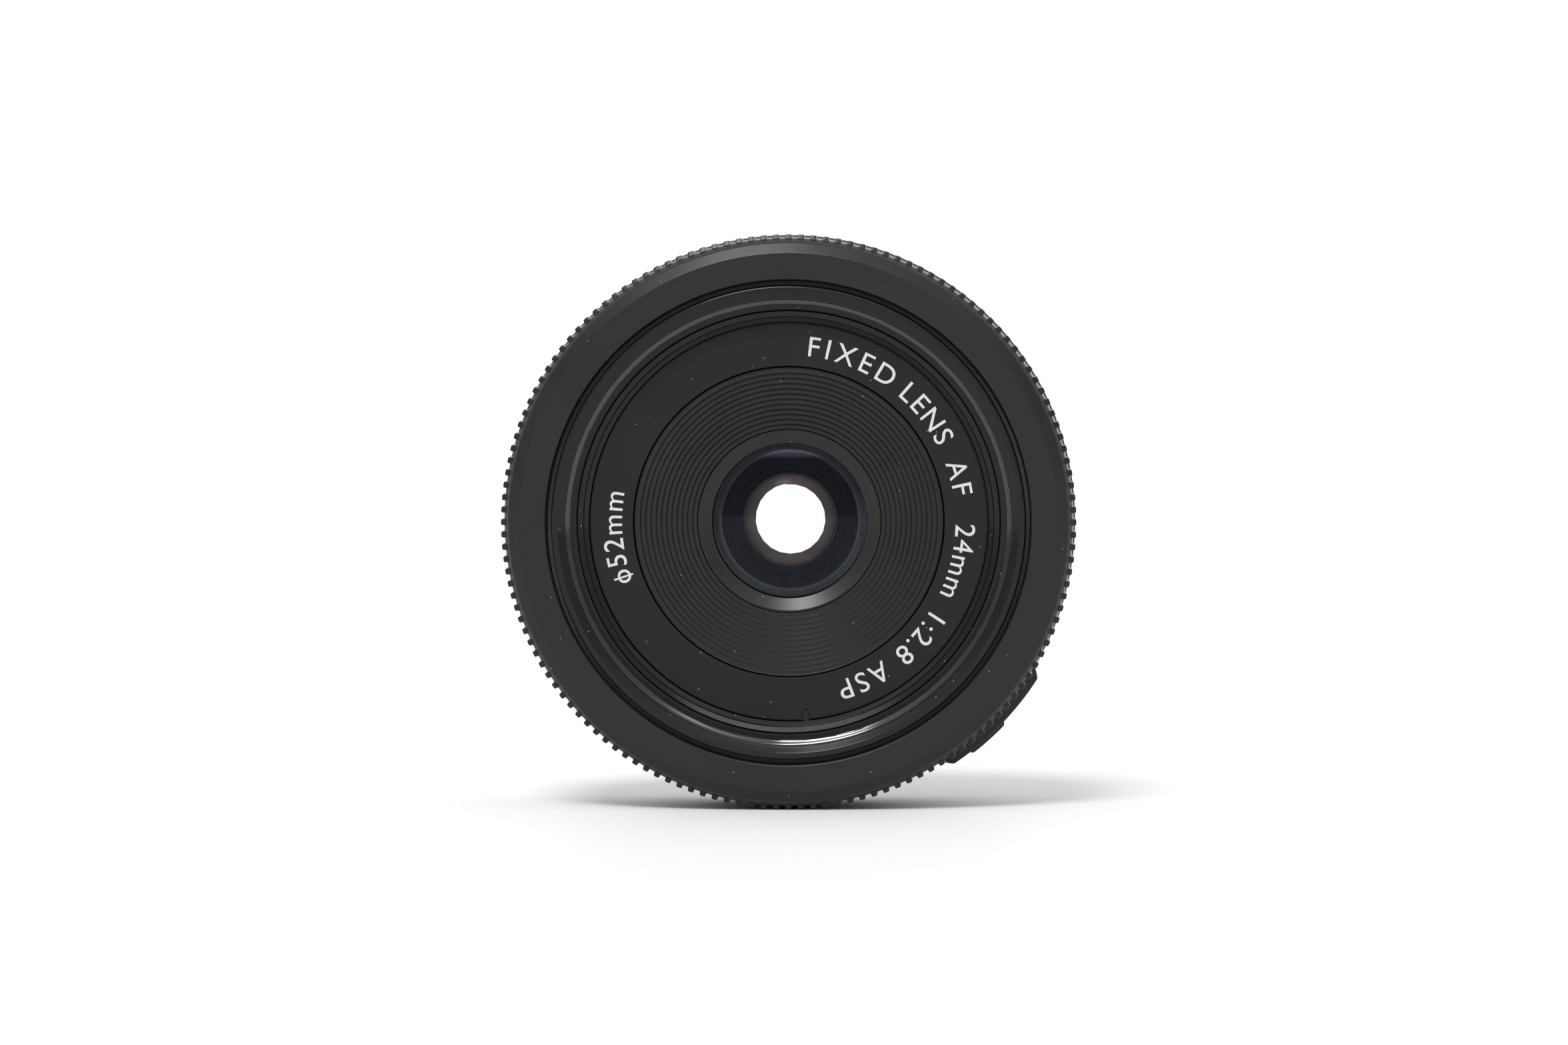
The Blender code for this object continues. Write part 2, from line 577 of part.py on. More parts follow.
def make_focus_gears():
    """The idler between the motor pinion and the cam's sector, on a fixed axle in the motor bracket."""
    idler_r = (CAM_TEETH + IDLER_TEETH) * GEAR_MODULE / 2
    span = (IDLER_TEETH + MOTOR_TEETH) * GEAR_MODULE / 2
    chord = span ** 2 - (MOTOR_AXIS_R - idler_r) ** 2
    turn = degrees(2 * asin(sqrt(chord / (4 * MOTOR_AXIS_R * idler_r))))
    motor_angle = IDLER_ANGLE + turn
    idler, motor = (idler_r, IDLER_ANGLE), (MOTOR_AXIS_R, motor_angle)
    ix, iz = flat(*idler)
    mx, mz = flat(*motor)
    towards_motor = degrees(atan2(mz - iz, mx - ix))
    idler_phase = meshing_phase(IDLER_ANGLE, IDLER_ANGLE, CAM_TEETH, IDLER_TEETH)
    motor_phase = meshing_phase(towards_motor, idler_phase, IDLER_TEETH, MOTOR_TEETH)

    teeth = gear_outline(IDLER_TEETH, GEAR_MODULE, idler_phase)
    gear = place("idler_gear", prism(teeth, *GEAR_U), BRASS_GEAR, idler)
    cut(gear, place("idler_bore_cutter", rod(0.5, 2.0, 5.0), BRASS_GEAR, idler))
    teeth = gear_outline(MOTOR_TEETH, GEAR_MODULE, motor_phase)
    pinion = place("motor_pinion", prism(teeth, *GEAR_U), BRASS_GEAR, motor)
    join(pinion, place("pinion_shaft_guide", rod(0.45, GEAR_U[0] + 0.1, 6.2), BRASS_GEAR, motor))
    place("idler_axle", rod(0.44, 2.75, 5.9), SCREW_STEEL, idler)

    plate = arc_block(24.9, 32.3, IDLER_ANGLE - 10, motor_angle + 10, 4.8, 5.3, steps=6)
    bracket = place("motor_bracket", plate, SCREW_STEEL)
    cut(bracket, place("axle_hole_cutter", rod(0.6, 4.5, 5.6), SCREW_STEEL, idler),
        place("shaft_hole_cutter", rod(0.7, 4.5, 5.6), SCREW_STEEL, motor))
    body = turned([
        (0, 6.4), (0.65, 6.4), (0.65, 5.6), (3.3, 5.6), (3.3, 12.0), (1.2, 12.0), (1.2, 12.6), (0, 12.6)], 16)
    place("focus_motor", body, SCREW_STEEL, motor)


# ---------------------------------------------------------------- moving front

def make_front_barrel():
    """The piece that moves out on focusing. It carries the filter thread and the name ring."""
    place("front_barrel", turned([
        (27.0, 13.5), (28.0, 13.5), (28.0, 22.6), (27.8, FRONT_U), (27.3, FRONT_U), (26.5, 22.3),
        (26.1, 22.3), (26.1, 20.3), (25.1, 20.3), (24.3, 19.9), (23.7, 19.5), (23.7, 18.2), (20.5, 18.2),
        (20.5, 16.7), (27.0, 16.7)], FRONT_STEPS), BODY_PLASTIC)


def make_name_ring():
    washer = turned([(18.5, 18.5), (23.46, 18.5), (23.46, 19.3), (18.5, 19.3)], FRONT_STEPS)
    ring = place("name_ring", washer, RING_PAINT)
    x, z = flat(22.9, -85)
    notch = prism([(x - 0.5, z - 1.5), (x + 0.5, z - 1.5), (x + 0.4, z + 0.5), (x - 0.4, z + 0.5)],
                  18.0, 20.0)
    cut(ring, place("notch_cutter", notch, RING_PAINT))


def make_front_baffle():
    """The conical light baffle. Its fine steps run from the name ring in to the front glass."""
    steps, foot, rim = 3, (10.95, 16.3), (18.3, 19.2)
    front = []
    for i in range(steps):
        share, following = i / steps, (i + 1) / steps
        level = foot[1] + (rim[1] - foot[1]) * share
        front.append((foot[0] + (rim[0] - foot[0]) * share, level))
        front.append((foot[0] + (rim[0] - foot[0]) * (following - 0.02), level + 0.12))
    profile = front + [(rim[0], rim[1]), (rim[0], rim[1] - 0.8), (11.7, 15.5), (foot[0], 15.5)]
    place("front_baffle", turned(profile, LENS_STEPS), BAFFLE_BLACK)


def make_cells():
    ring = turned([(9.35, 15.0), (10.7, 15.0), (10.7, 16.1), (10.4, 16.1), (9.2, 15.5)], LENS_STEPS)
    place("front_retaining_ring", ring, BODY_PLASTIC)
    place("front_cell", turned([
        (5.2, 8.0), (6.5, 8.0), (6.5, 9.4), (7.3, 9.4), (7.3, 10.3), (10.7, 10.3), (10.7, 14.7),
        (9.3, 14.7), (9.3, 11.1), (6.0, 11.1), (6.0, 10.0), (5.2, 10.0)], LENS_STEPS), INNER_PLASTIC)
    place("rear_cell", turned([
        (5.6, 5.5), (8.6, 5.5), (8.6, 4.1), (12.0, 4.1), (12.0, 3.1), (8.6, 3.1), (8.6, -4.9),
        (7.6, -4.9), (7.6, -1.5), (6.6, -1.5), (6.6, 1.25), (5.0, 1.25), (5.0, 1.9),
        (5.6, 1.9)], LENS_STEPS), INNER_PLASTIC)
    place("rear_spacer", tube(6.75, 7.5, -2.3, -1.8, LENS_STEPS), INNER_PLASTIC)
    ring = turned([(6.9, -4.9), (7.5, -4.9), (7.5, -4.3), (6.6, -4.3)], LENS_STEPS)
    place("rear_retaining_ring", ring, INNER_PLASTIC)


def make_glass():
    elements = {
        "front_element": lens_profile(9.15, 15.1, 34.0, 14.0, 13.0, rear_clear=7.9),
        "second_element": lens_profile(5.85, 11.9, 16.0, 10.1, -40.0),
        "doublet_front_element": lens_profile(5.5, 4.9, -22.0, 4.1, 14.0),
        "doublet_rear_element": lens_profile(5.5, 4.04, 14.0, 1.5, -18.0),
        "aspheric_element": lens_profile(6.5, 0.4, -40.0, -1.0, -16.0),
        "rear_element": lens_profile(7.5, -2.2, 60.0, -4.0, -40.0),
    }
    for name, profile in elements.items():
        place(name, turned(profile, LENS_STEPS), LENS_GLASS)


# ---------------------------------------------------------------- iris

def drive_pin_place(swing):
    """The drive pin's radius, and its angle from its blade's pivot, after the blade has swung this far."""
    a = radians(DRIVE_PIN_START + swing)
    out = PIVOT_R + DRIVE_PIN_ARM * sin(a)
    along = -DRIVE_PIN_ARM * cos(a)
    return hypot(out, along), degrees(atan2(along, out))


def blade_outline(pivot_angle):
    """A crescent from the pivot round to its tip, and the ear behind the pivot that holds the drive pin."""
    tip = pivot_angle + BLADE_SPAN
    inner = [flat(STOP_R, a) for a in spread(tip, pivot_angle - 4, 9)]
    ear = [flat(8.5, pivot_angle - 12), flat(8.5, pivot_angle - 3)]
    pin_r, pin_angle = drive_pin_place(0)
    back = [flat(6.9, pivot_angle - 19), flat(pin_r + 0.5, pivot_angle + pin_angle - 4.5)]
    outer = [flat(BLADE_OUTER_R, a) for a in spread(pivot_angle + 9, tip, 7)]
    return inner + back + ear + [flat(8.2, pivot_angle + 3.5)] + outer


def make_blades():
    """Seven blades in separate layers, each hung on its pivot pin and moved by its drive pin."""
    for i in range(BLADE_COUNT):
        pivot_angle = i * 360 / BLADE_COUNT
        low = BLADE_U + i * BLADE_PITCH
        high = low + BLADE_THICKNESS
        px, pz = flat(PIVOT_R, pivot_angle)
        outline = [(x - px, z - pz) for x, z in blade_outline(pivot_angle)]
        pivot = (PIVOT_R, pivot_angle)
        blade = place(f"iris_blade_{i + 1}", prism(outline, low, high), BLADE_STEEL, pivot)
        pin_r, pin_angle = drive_pin_place(0)
        drive = (pin_r, pivot_angle + pin_angle)
        pivot_pin = rod(IRIS_PIN_R, 6.0, high - 0.04, 8)
        drive_pin = rod(IRIS_PIN_R, low + 0.04, 8.5, 8)
        join(blade, place(f"pivot_pin_guide_{i + 1}", pivot_pin, BLADE_STEEL, pivot),
             place(f"drive_pin_guide_{i + 1}", drive_pin, BLADE_STEEL, drive))


def make_iris_housing():
    housing = place("iris_housing", turned([
        (STOP_R, 5.85), (9.95, 5.85), (9.95, 7.95), (9.35, 7.95), (9.35, 6.45),
        (STOP_R, 6.45)], LENS_STEPS), INNER_PLASTIC)
    for i in range(BLADE_COUNT):
        hole = rod(0.42, 5.5, 6.8, 8)
        cut(housing, place(f"pivot_hole_cutter_{i}", hole, INNER_PLASTIC, (PIVOT_R, i * 360 / BLADE_COUNT)))


def make_iris_ring():
    """The ring whose slots turn every blade by the same share of its own turn, and its gear sector."""
    pitch_r = IRIS_TEETH * IRIS_MODULE / 2
    rim_r = pitch_r - 1.1 * IRIS_MODULE
    ring = place("iris_drive_ring", tube(6.62, rim_r, *IRIS_RING_U, LENS_STEPS), CAM_ALUMINIUM)
    tooth = 360 / IRIS_TEETH
    before, after = 7, 4
    first = IRIS_MOTOR_ANGLE - before * tooth
    teeth = gear_outline(IRIS_TEETH, IRIS_MODULE, first, before + after + 1)
    inner = [flat(9.3, a) for a in spread(IRIS_MOTOR_ANGLE + after * tooth + 1, first - 1, 4)]
    join(ring, place("iris_teeth_guide", prism(teeth + inner, *IRIS_RING_U), CAM_ALUMINIUM))
    for i in range(BLADE_COUNT):
        path = []
        for share in spread(0, 1, 5):
            pin_r, pin_angle = drive_pin_place(BLADE_SWING * share)
            path.append(flat(pin_r, i * 360 / BLADE_COUNT + pin_angle - IRIS_TURN * share))
        slot = prism(slot_outline(path, IRIS_PIN_R + 0.1), 7.9, 8.9)
        cut(ring, place(f"blade_slot_cutter_{i}", slot, CAM_ALUMINIUM))


def make_iris_drive():
    pinion_r = (IRIS_TEETH + IRIS_PINION_TEETH) * IRIS_MODULE / 2
    motor = (pinion_r, IRIS_MOTOR_ANGLE)
    phase = meshing_phase(IRIS_MOTOR_ANGLE, IRIS_MOTOR_ANGLE, IRIS_TEETH, IRIS_PINION_TEETH)
    pinion = place("iris_pinion", prism(gear_outline(IRIS_PINION_TEETH, IRIS_MODULE, phase), *IRIS_RING_U),
                   BRASS_GEAR, motor)
    join(pinion, place("iris_shaft_guide", rod(0.4, IRIS_RING_U[0] + 0.1, 10.4), BRASS_GEAR, motor))
    body = turned([(0, 10.7), (0.6, 10.7), (0.6, 9.5), (2.2, 9.5), (2.2, 13.6), (0, 13.6)], 16)
    place("iris_motor", body, SCREW_STEEL, motor)
    cover = place("iris_cover", tube(6.75, 9.95, 8.85, 9.2, LENS_STEPS), INNER_PLASTIC)
    ear = arc_block(9.3, 15.8, IRIS_MOTOR_ANGLE - 13, IRIS_MOTOR_ANGLE + 13, 8.85, 9.2, steps=4)
    join(cover, place("cover_ear_guide", ear, INNER_PLASTIC))
    cut(cover, place("cover_hole_cutter", rod(0.6, 8.5, 9.4), INNER_PLASTIC, motor))


def make_lens():
    make_main_barrel()
    make_focus_ring()
    make_encoder_comb()
    make_ring_parts()
    make_switch()
    make_bayonet()
    make_screws()
    make_rear()
    make_electronics()
    make_guide_barrel()
    make_cam_ring()
    make_carriage()
    make_followers()
    make_focus_gears()
    make_front_barrel()
    make_name_ring()
    make_front_baffle()
    make_cells()
    make_glass()
    make_iris_housing()
    make_blades()
    make_iris_ring()
    make_iris_drive()


make_lens()
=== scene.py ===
"""The looks of a slim autofocus prime lens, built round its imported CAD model.

Sizes are in millimetres, and MM turns them into metres when points are made. As in the CAD, the optical axis
lies along Y, u is a distance ahead of the bayonet flange (towards -Y), and angles are in degrees, anticlockwise
from X as seen from the front.
"""

import json
from math import cos, degrees, hypot, radians, sin, sqrt, tan

import bmesh
import bpy
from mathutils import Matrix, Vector


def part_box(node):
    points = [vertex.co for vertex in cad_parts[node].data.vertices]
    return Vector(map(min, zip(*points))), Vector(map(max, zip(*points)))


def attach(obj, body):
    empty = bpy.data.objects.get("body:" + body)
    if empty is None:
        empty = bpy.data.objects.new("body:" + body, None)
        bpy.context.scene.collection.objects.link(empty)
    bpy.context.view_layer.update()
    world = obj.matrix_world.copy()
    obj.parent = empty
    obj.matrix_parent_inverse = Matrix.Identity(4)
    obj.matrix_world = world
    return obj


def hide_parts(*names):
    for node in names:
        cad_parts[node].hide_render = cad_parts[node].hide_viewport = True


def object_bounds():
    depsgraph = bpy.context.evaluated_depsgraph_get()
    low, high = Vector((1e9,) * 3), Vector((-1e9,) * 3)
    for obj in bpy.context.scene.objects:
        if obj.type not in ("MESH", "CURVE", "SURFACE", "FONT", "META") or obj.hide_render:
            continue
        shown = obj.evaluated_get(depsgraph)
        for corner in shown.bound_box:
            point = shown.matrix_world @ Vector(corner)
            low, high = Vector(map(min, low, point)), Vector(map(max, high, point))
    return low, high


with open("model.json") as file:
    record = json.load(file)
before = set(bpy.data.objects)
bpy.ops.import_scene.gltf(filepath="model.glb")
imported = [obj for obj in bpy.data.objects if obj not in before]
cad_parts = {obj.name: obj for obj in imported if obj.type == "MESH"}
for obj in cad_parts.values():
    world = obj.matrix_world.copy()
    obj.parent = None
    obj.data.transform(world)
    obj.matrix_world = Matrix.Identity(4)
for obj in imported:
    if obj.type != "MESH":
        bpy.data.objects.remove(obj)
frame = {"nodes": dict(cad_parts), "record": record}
CAD_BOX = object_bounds()
NODES = frame["nodes"]
for plain in bpy.data.materials:
    plain.name = "plain_" + plain.name
MOUNTS = {mount["name"]: mount for mount in frame["record"]["mounts"]}

MM = 0.001


def middle_of(node):
    low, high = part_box(node)
    return (low + high) / 2


AXIS_POINT = middle_of("focus_ring")
FLANGE_Y = MOUNTS["bayonet_flange"]["pos_m"][1]


def u_of(y):
    return (FLANGE_Y - y) / MM


def u_span(node):
    """The lowest and highest u of a CAD node."""
    low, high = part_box(node)
    return u_of(high.y), u_of(low.y)


# Overall size, from the frame
RIB_TIP_R = (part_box("focus_ring")[1].x - AXIS_POINT.x) / MM
FRONT_U = u_span("front_barrel")[1]
REAR_U = u_span("rear_rubber_ring")[0]

# Ribs: the valleys run out a little towards the rear, as moulded ribs do
RIB_COUNT = 144
RIB_REAR_U, RIB_FRONT_U = 14.7, 21.0
VALLEY_REAR_R, VALLEY_FRONT_R = 33.88, 33.62
COLLAR_R = 34.02

BARREL_R = 33.95
PAD_ANGLE = -44.35
PAD_TOP_R = 35.15
SWITCH_ANGLE = -47.9
INDEX_ANGLE = PAD_ANGLE + 90
CONTACT_ANGLE = INDEX_ANGLE + 180
SCREW_CIRCLE_R = 29.6
LUG_CENTRES = (INDEX_ANGLE - 90, INDEX_ANGLE + 40, INDEX_ANGLE + 150)
LUG_LENGTHS = (56.0, 50.0, 62.0)

# Smoothness
FILLET_STEPS = 4
ROUND_STEPS = 240
GLASS_STEPS = 128
SHARP_ANGLE = radians(42)


# ---------------------------------------------------------------- points and meshes

def point(radius, angle, u):
    a = radians(angle)
    return Vector((AXIS_POINT.x + radius * cos(a) * MM, FLANGE_Y - u * MM,
                   AXIS_POINT.z + radius * sin(a) * MM))


def spread(first, last, steps):
    return [first + (last - first) * i / steps for i in range(steps + 1)]


def rounded(corners):
    """A closed outline with its corners filleted. A corner is (x, y) or (x, y, fillet)."""
    marks = []
    for i, corner in enumerate(corners):
        here = Vector(corner[:2])
        fillet = corner[2] if len(corner) > 2 else 0
        if not fillet:
            marks.append(tuple(here))
            continue
        back = Vector(corners[i - 1][:2]) - here
        ahead = Vector(corners[(i + 1) % len(corners)][:2]) - here
        half = back.angle(ahead) / 2
        reach = min(fillet / tan(half), 0.42 * back.length, 0.42 * ahead.length)
        start, end = here + back.normalized() * reach, here + ahead.normalized() * reach
        marks.append(tuple(here + back.normalized() * reach * 1.15))
        for t in spread(0, 1, FILLET_STEPS):
            marks.append(tuple(start.lerp(here, t).lerp(here.lerp(end, t), t)))
        marks.append(tuple(here + ahead.normalized() * reach * 1.15))
    return marks


def finished(name, bm):
    """A mesh from bm, facing out and smooth but for its sharp edges."""
    bmesh.ops.recalc_face_normals(bm, faces=bm.faces)
    mesh = bpy.data.meshes.new(name)
    bm.to_mesh(mesh)
    bm.free()
    mesh.shade_smooth()
    mesh.set_sharp_from_angle(angle=SHARP_ANGLE)
    return mesh


def from_rings(rings):
    """A closed skin through rings of points, the last joined to the first. A ring of one point is a pole."""
    bm = bmesh.new()
    rows = [[bm.verts.new(p) for p in ring] for ring in rings]
    pairs = list(zip(rows, rows[1:]))
    if len(rows[0]) > 1:
        pairs.append((rows[-1], rows[0]))
    for low, high in pairs:
        count = max(len(low), len(high))
        for i in range(count):
            j = (i + 1) % count
            corners = [low[i % len(low)], low[j % len(low)], high[j % len(high)], high[i % len(high)]]
            unique = list(dict.fromkeys(corners))
            bm.faces.new(unique)
    return bm


def lathe(profile, steps=ROUND_STEPS):
    """A closed profile of (radius, u) turned about the optical axis."""
    angles = spread(0, 360, steps)[:-1]
    rings = [[point(0, 0, u)] if radius == 0 else [point(radius, a, u) for a in angles]
             for radius, u in profile]
    return from_rings(rings)


def lathe_about(centre, profile, steps=48):
    """The same about a parallel axis through centre, given as (radius, angle)."""
    offset = point(*centre, 0) - point(0, 0, 0)
    bm = lathe(profile, steps)
    bmesh.ops.translate(bm, verts=bm.verts, vec=offset)
    return bm


def loft(sections):
    """A solid through closed sections of the same number of points, with its ends closed."""
    bm = bmesh.new()
    rows = [[bm.verts.new(p) for p in section] for section in sections]
    for low, high in zip(rows, rows[1:]):
        for i in range(len(low)):
            j = (i + 1) % len(low)
            bm.faces.new((low[i], low[j], high[j], high[i]))
    bm.faces.new(rows[0])
    bm.faces.new(rows[-1][::-1])
    return bm


def arc_bar(corners, first, last, steps=64):
    """A filleted (radius, u) section swept round the axis from one angle to another."""
    section = rounded(corners)
    return loft([[point(r, a, u) for r, u in section] for a in spread(first, last, steps)])


def saddle(base_r, top_r, first, last, slope, low, high, inset, fillet, steps=48):
    """A raised block on a cylinder, whose ends slope over an angle and whose sides lean in by inset."""
    sections = []
    rises = [0, 0.12, 0.35, 0.65, 0.88, 1]
    stations = [(first + slope * t, t) for t in rises]
    stations += [(a, 1) for a in spread(first + slope, last - slope, steps)[1:-1]]
    stations += [(last - slope * t, t) for t in reversed(rises)]
    for angle, t in stations:
        ease = t * t * (3 - 2 * t)
        top = base_r + 0.02 + (top_r - base_r - 0.02) * ease
        side = inset * ease
        section = rounded([(base_r - 0.8, low), (base_r - 0.8, high), (base_r, high),
                           (top, high - side, fillet * ease + 0.01), (top, low + side, fillet * ease + 0.01),
                           (base_r, low)])
        sections.append([point(r, angle, u) for r, u in section])
    return loft(sections)


def prism(outline, u_low, u_high, centre=(0.0, 0.0)):
    """An outline of (x, z) points extruded along the optical axis."""
    at = point(*centre, 0)
    bottom = [at + Vector((x * MM, -u_low * MM, z * MM)) for x, z in outline]
    top = [at + Vector((x * MM, -u_high * MM, z * MM)) for x, z in outline]
    return loft([bottom, top])


def carved(name, bm, joined=(), removed=()):
    """bm with solids added and others cut away, as one mesh."""
    body = bpy.data.objects.new(name, finished(name, bm))
    bpy.context.scene.collection.objects.link(body)
    tools = []
    for operation, group in (("UNION", joined), ("DIFFERENCE", removed)):
        for tool in group:
            helper = bpy.data.objects.new("tool", finished("tool", tool))
            bpy.context.scene.collection.objects.link(helper)
            tools.append(helper)
            modifier = body.modifiers.new("carve", "BOOLEAN")
            modifier.operation = operation
            modifier.solver = "EXACT"
            modifier.object = helper
    result = bpy.data.meshes.new_from_object(body.evaluated_get(bpy.context.evaluated_depsgraph_get()))
    for helper in tools + [body]:
        bpy.data.objects.remove(helper)
    result.name = name
    result.shade_smooth()
    result.set_sharp_from_angle(angle=SHARP_ANGLE)
    return result


def add_piece(name, mesh, body, stands_for, material):
    """Shows a mesh as a piece of a body in place of some CAD nodes."""
    if isinstance(mesh, bmesh.types.BMesh):
        mesh = finished(name, mesh)
    mesh.materials.clear()
    mesh.materials.append(material)
    made = bpy.data.objects.new(name, mesh)
    bpy.context.scene.collection.objects.link(made)
    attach(made, body)
    if stands_for:
        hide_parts(*stands_for)
    return made


# ---------------------------------------------------------------- materials

def link(tree, source, target):
    tree.links.new(source, target)


def add_node(tree, kind, inputs=None, **settings):
    node = tree.nodes.new("ShaderNode" + kind)
    for key, value in settings.items():
        setattr(node, key, value)
    for key, value in (inputs or {}).items():
        if isinstance(value, bpy.types.NodeSocket):
            link(tree, value, node.inputs[key])
        else:
            node.inputs[key].default_value = value
    return node


def start_material(name, sockets):
    material = bpy.data.materials.new(name)
    material.use_nodes = True
    shader = material.node_tree.nodes["Principled BSDF"]
    for key, value in sockets.items():
        shader.inputs[key].default_value = value
    return material, material.node_tree, shader


def object_place(tree):
    return add_node(tree, "TexCoord").outputs["Object"]


def turned_place(tree):
    """A coordinate that only changes with the distance from the optical axis and along it."""
    place = add_node(tree, "SeparateXYZ", {0: object_place(tree)})
    height = add_node(tree, "Math", {0: place.outputs["Z"], 1: AXIS_POINT.z}, operation="SUBTRACT").outputs[0]
    across = add_node(tree, "Math", {0: place.outputs["X"], 1: place.outputs["X"]},
                      operation="MULTIPLY").outputs[0]
    square = add_node(tree, "Math", {0: height, 1: height, 2: across}, operation="MULTIPLY_ADD").outputs[0]
    radius = add_node(tree, "Math", {0: square}, operation="SQRT").outputs[0]
    return add_node(tree, "CombineXYZ", {"X": radius, "Y": place.outputs["Y"]}).outputs[0]


def noise(tree, place, scale, detail=2.0, roughness=0.5):
    return add_node(tree, "TexNoise", {"Vector": place, "Scale": scale, "Detail": detail,
                                       "Roughness": roughness})


def remap(tree, value, low, high, to_low, to_high):
    return add_node(tree, "MapRange", {"Value": value, "From Min": low, "From Max": high, "To Min": to_low,
                                       "To Max": to_high}).outputs["Result"]


def scaled_colour(tree, colour, factor):
    """A colour times a varying factor."""
    node = add_node(tree, "VectorMath", {0: colour, "Scale": factor}, operation="SCALE")
    return node.outputs["Vector"]


def add_specks(tree, place, colour, size, chance, shade, squash):
    """Scattered dust: a few cells of a Voronoi pattern each show one small pale dot.
    A squash below 1 stretches the cells along the axis, so that more of them meet a surface facing the front."""
    squashed = add_node(tree, "VectorMath", {0: place, 1: (1.0, squash, 1.0)},
                        operation="MULTIPLY").outputs["Vector"]
    cells = add_node(tree, "TexVoronoi", {"Vector": squashed, "Scale": 1 / (size * 9 * MM)}, feature="F1")
    near = remap(tree, cells.outputs["Distance"], 0.07, 0.04, 0, 1)
    lucky = add_node(tree, "SeparateColor", {0: cells.outputs["Color"]}).outputs["Red"]
    some = add_node(tree, "Math", {0: lucky, 1: chance}, operation="LESS_THAN").outputs[0]
    mask = add_node(tree, "Math", {0: near, 1: some}, operation="MULTIPLY").outputs[0]
    mix = add_node(tree, "Mix", {"Factor": mask}, data_type="RGBA")
    link(tree, colour, mix.inputs[6])
    mix.inputs[7].default_value = (*shade, 1)
    return mix.outputs[2]


def moulded(name, colour, roughness, grain=0.10, depth=0.006, mottle=0.12, dust=0.0, sockets=None, turned=0.0,
            squash=1.0):
    """A plastic, painted or rubber surface: fine grain, a little unevenness in shade and gloss, and dust.
    grain and depth are in millimetres. turned adds that depth of lathe lines round the axis."""
    material, tree, shader = start_material(name, {"Roughness": roughness, **(sockets or {})})
    place = object_place(tree)
    broad = noise(tree, place, 90.0, 3.0).outputs["Fac"]
    fine = noise(tree, place, 1 / (grain * MM), 2.0).outputs["Fac"]
    shade = remap(tree, broad, 0.3, 0.7, 1 - mottle, 1 + mottle)
    shade = add_node(tree, "Math", {0: shade, 1: remap(tree, fine, 0.25, 0.75, 0.86, 1.14)},
                     operation="MULTIPLY").outputs[0]
    tint = scaled_colour(tree, colour, shade)
    if dust:
        tint = add_specks(tree, place, tint, 0.12, dust, (0.32, 0.33, 0.30), squash)
    link(tree, tint, shader.inputs["Base Color"])
    link(tree, remap(tree, broad, 0.3, 0.7, roughness - 0.05, roughness + 0.05), shader.inputs["Roughness"])
    height = fine
    if turned:
        lines = noise(tree, turned_place(tree), 1 / (0.07 * MM), 1.0).outputs["Fac"]
        height = add_node(tree, "Math", {0: lines, 1: turned / depth, 2: fine},
                          operation="MULTIPLY_ADD").outputs[0]
    bump = add_node(tree, "Bump", {"Strength": 0.6, "Distance": depth * MM, "Height": height})
    link(tree, bump.outputs["Normal"], shader.inputs["Normal"])
    return material


def machined(name, colour, roughness, depth=0.002, spacing=0.05, mottle=0.06, sockets=None):
    """A turned metal: fine rings round the optical axis, with faint marks and uneven gloss."""
    settings = {"Roughness": roughness, "Metallic": 1.0, **(sockets or {})}
    material, tree, shader = start_material(name, settings)
    place = object_place(tree)
    broad = noise(tree, place, 120.0, 4.0).outputs["Fac"]
    rings = noise(tree, turned_place(tree), 1 / (spacing * MM), 2.0).outputs["Fac"]
    shade = add_node(tree, "Math", {0: remap(tree, rings, 0.3, 0.7, 0.94, 1.06),
                                    1: remap(tree, broad, 0.3, 0.7, 1 - mottle, 1 + mottle)},
                     operation="MULTIPLY").outputs[0]
    link(tree, scaled_colour(tree, colour, shade), shader.inputs["Base Color"])
    link(tree, remap(tree, broad, 0.3, 0.7, roughness - 0.06, roughness + 0.08), shader.inputs["Roughness"])
    bump = add_node(tree, "Bump", {"Strength": 0.5, "Distance": depth * MM, "Height": rings})
    link(tree, bump.outputs["Normal"], shader.inputs["Normal"])
    return material


def coated_glass(name, film, gloss):
    """Optical glass with a thin coating, whose thickness in nanometres sets the tint of what it reflects."""
    return start_material(name, {
        "Base Color": (1.0, 1.0, 1.0, 1.0), "Roughness": 0.0, "Transmission Weight": 1.0, "IOR": 1.52,
        "Specular IOR Level": gloss, "Thin Film Thickness": film, "Thin Film IOR": 1.38})[0]


def printed(name, colour):
    material, tree, shader = start_material(name, {"Roughness": 0.5})
    patch = noise(tree, object_place(tree), 1 / (0.09 * MM), 3.0).outputs["Fac"]
    shade = remap(tree, patch, 0.3, 0.7, 0.86, 1.06)
    link(tree, scaled_colour(tree, colour, shade), shader.inputs["Base Color"])
    return material


LOW_GLOSS = {"Specular IOR Level": 0.24}
MID_GLOSS = {"Specular IOR Level": 0.28}
BODY = moulded("body_plastic", (0.0112, 0.0119, 0.0115), 0.28, grain=0.11, depth=0.008, dust=0.06,
               sockets=MID_GLOSS)
RIB = moulded("rib_plastic", (0.0115, 0.0123, 0.0119), 0.32, grain=0.13, depth=0.012, dust=0.1,
              sockets=MID_GLOSS)
GLOSS = moulded("front_plastic", (0.0055, 0.0059, 0.0057), 0.15, grain=0.2, depth=0.002, dust=0.3, turned=0.0015,
                sockets=MID_GLOSS)
THREAD = moulded("thread_plastic", (0.003, 0.0033, 0.0031), 0.11, grain=0.2, depth=0.0015,
                 sockets={"Specular IOR Level": 0.9})
NAME = moulded("name_ring_paint", (0.0070, 0.0073, 0.0071), 0.5, grain=0.09, depth=0.006, dust=0.4,
               sockets=LOW_GLOSS, squash=0.1)
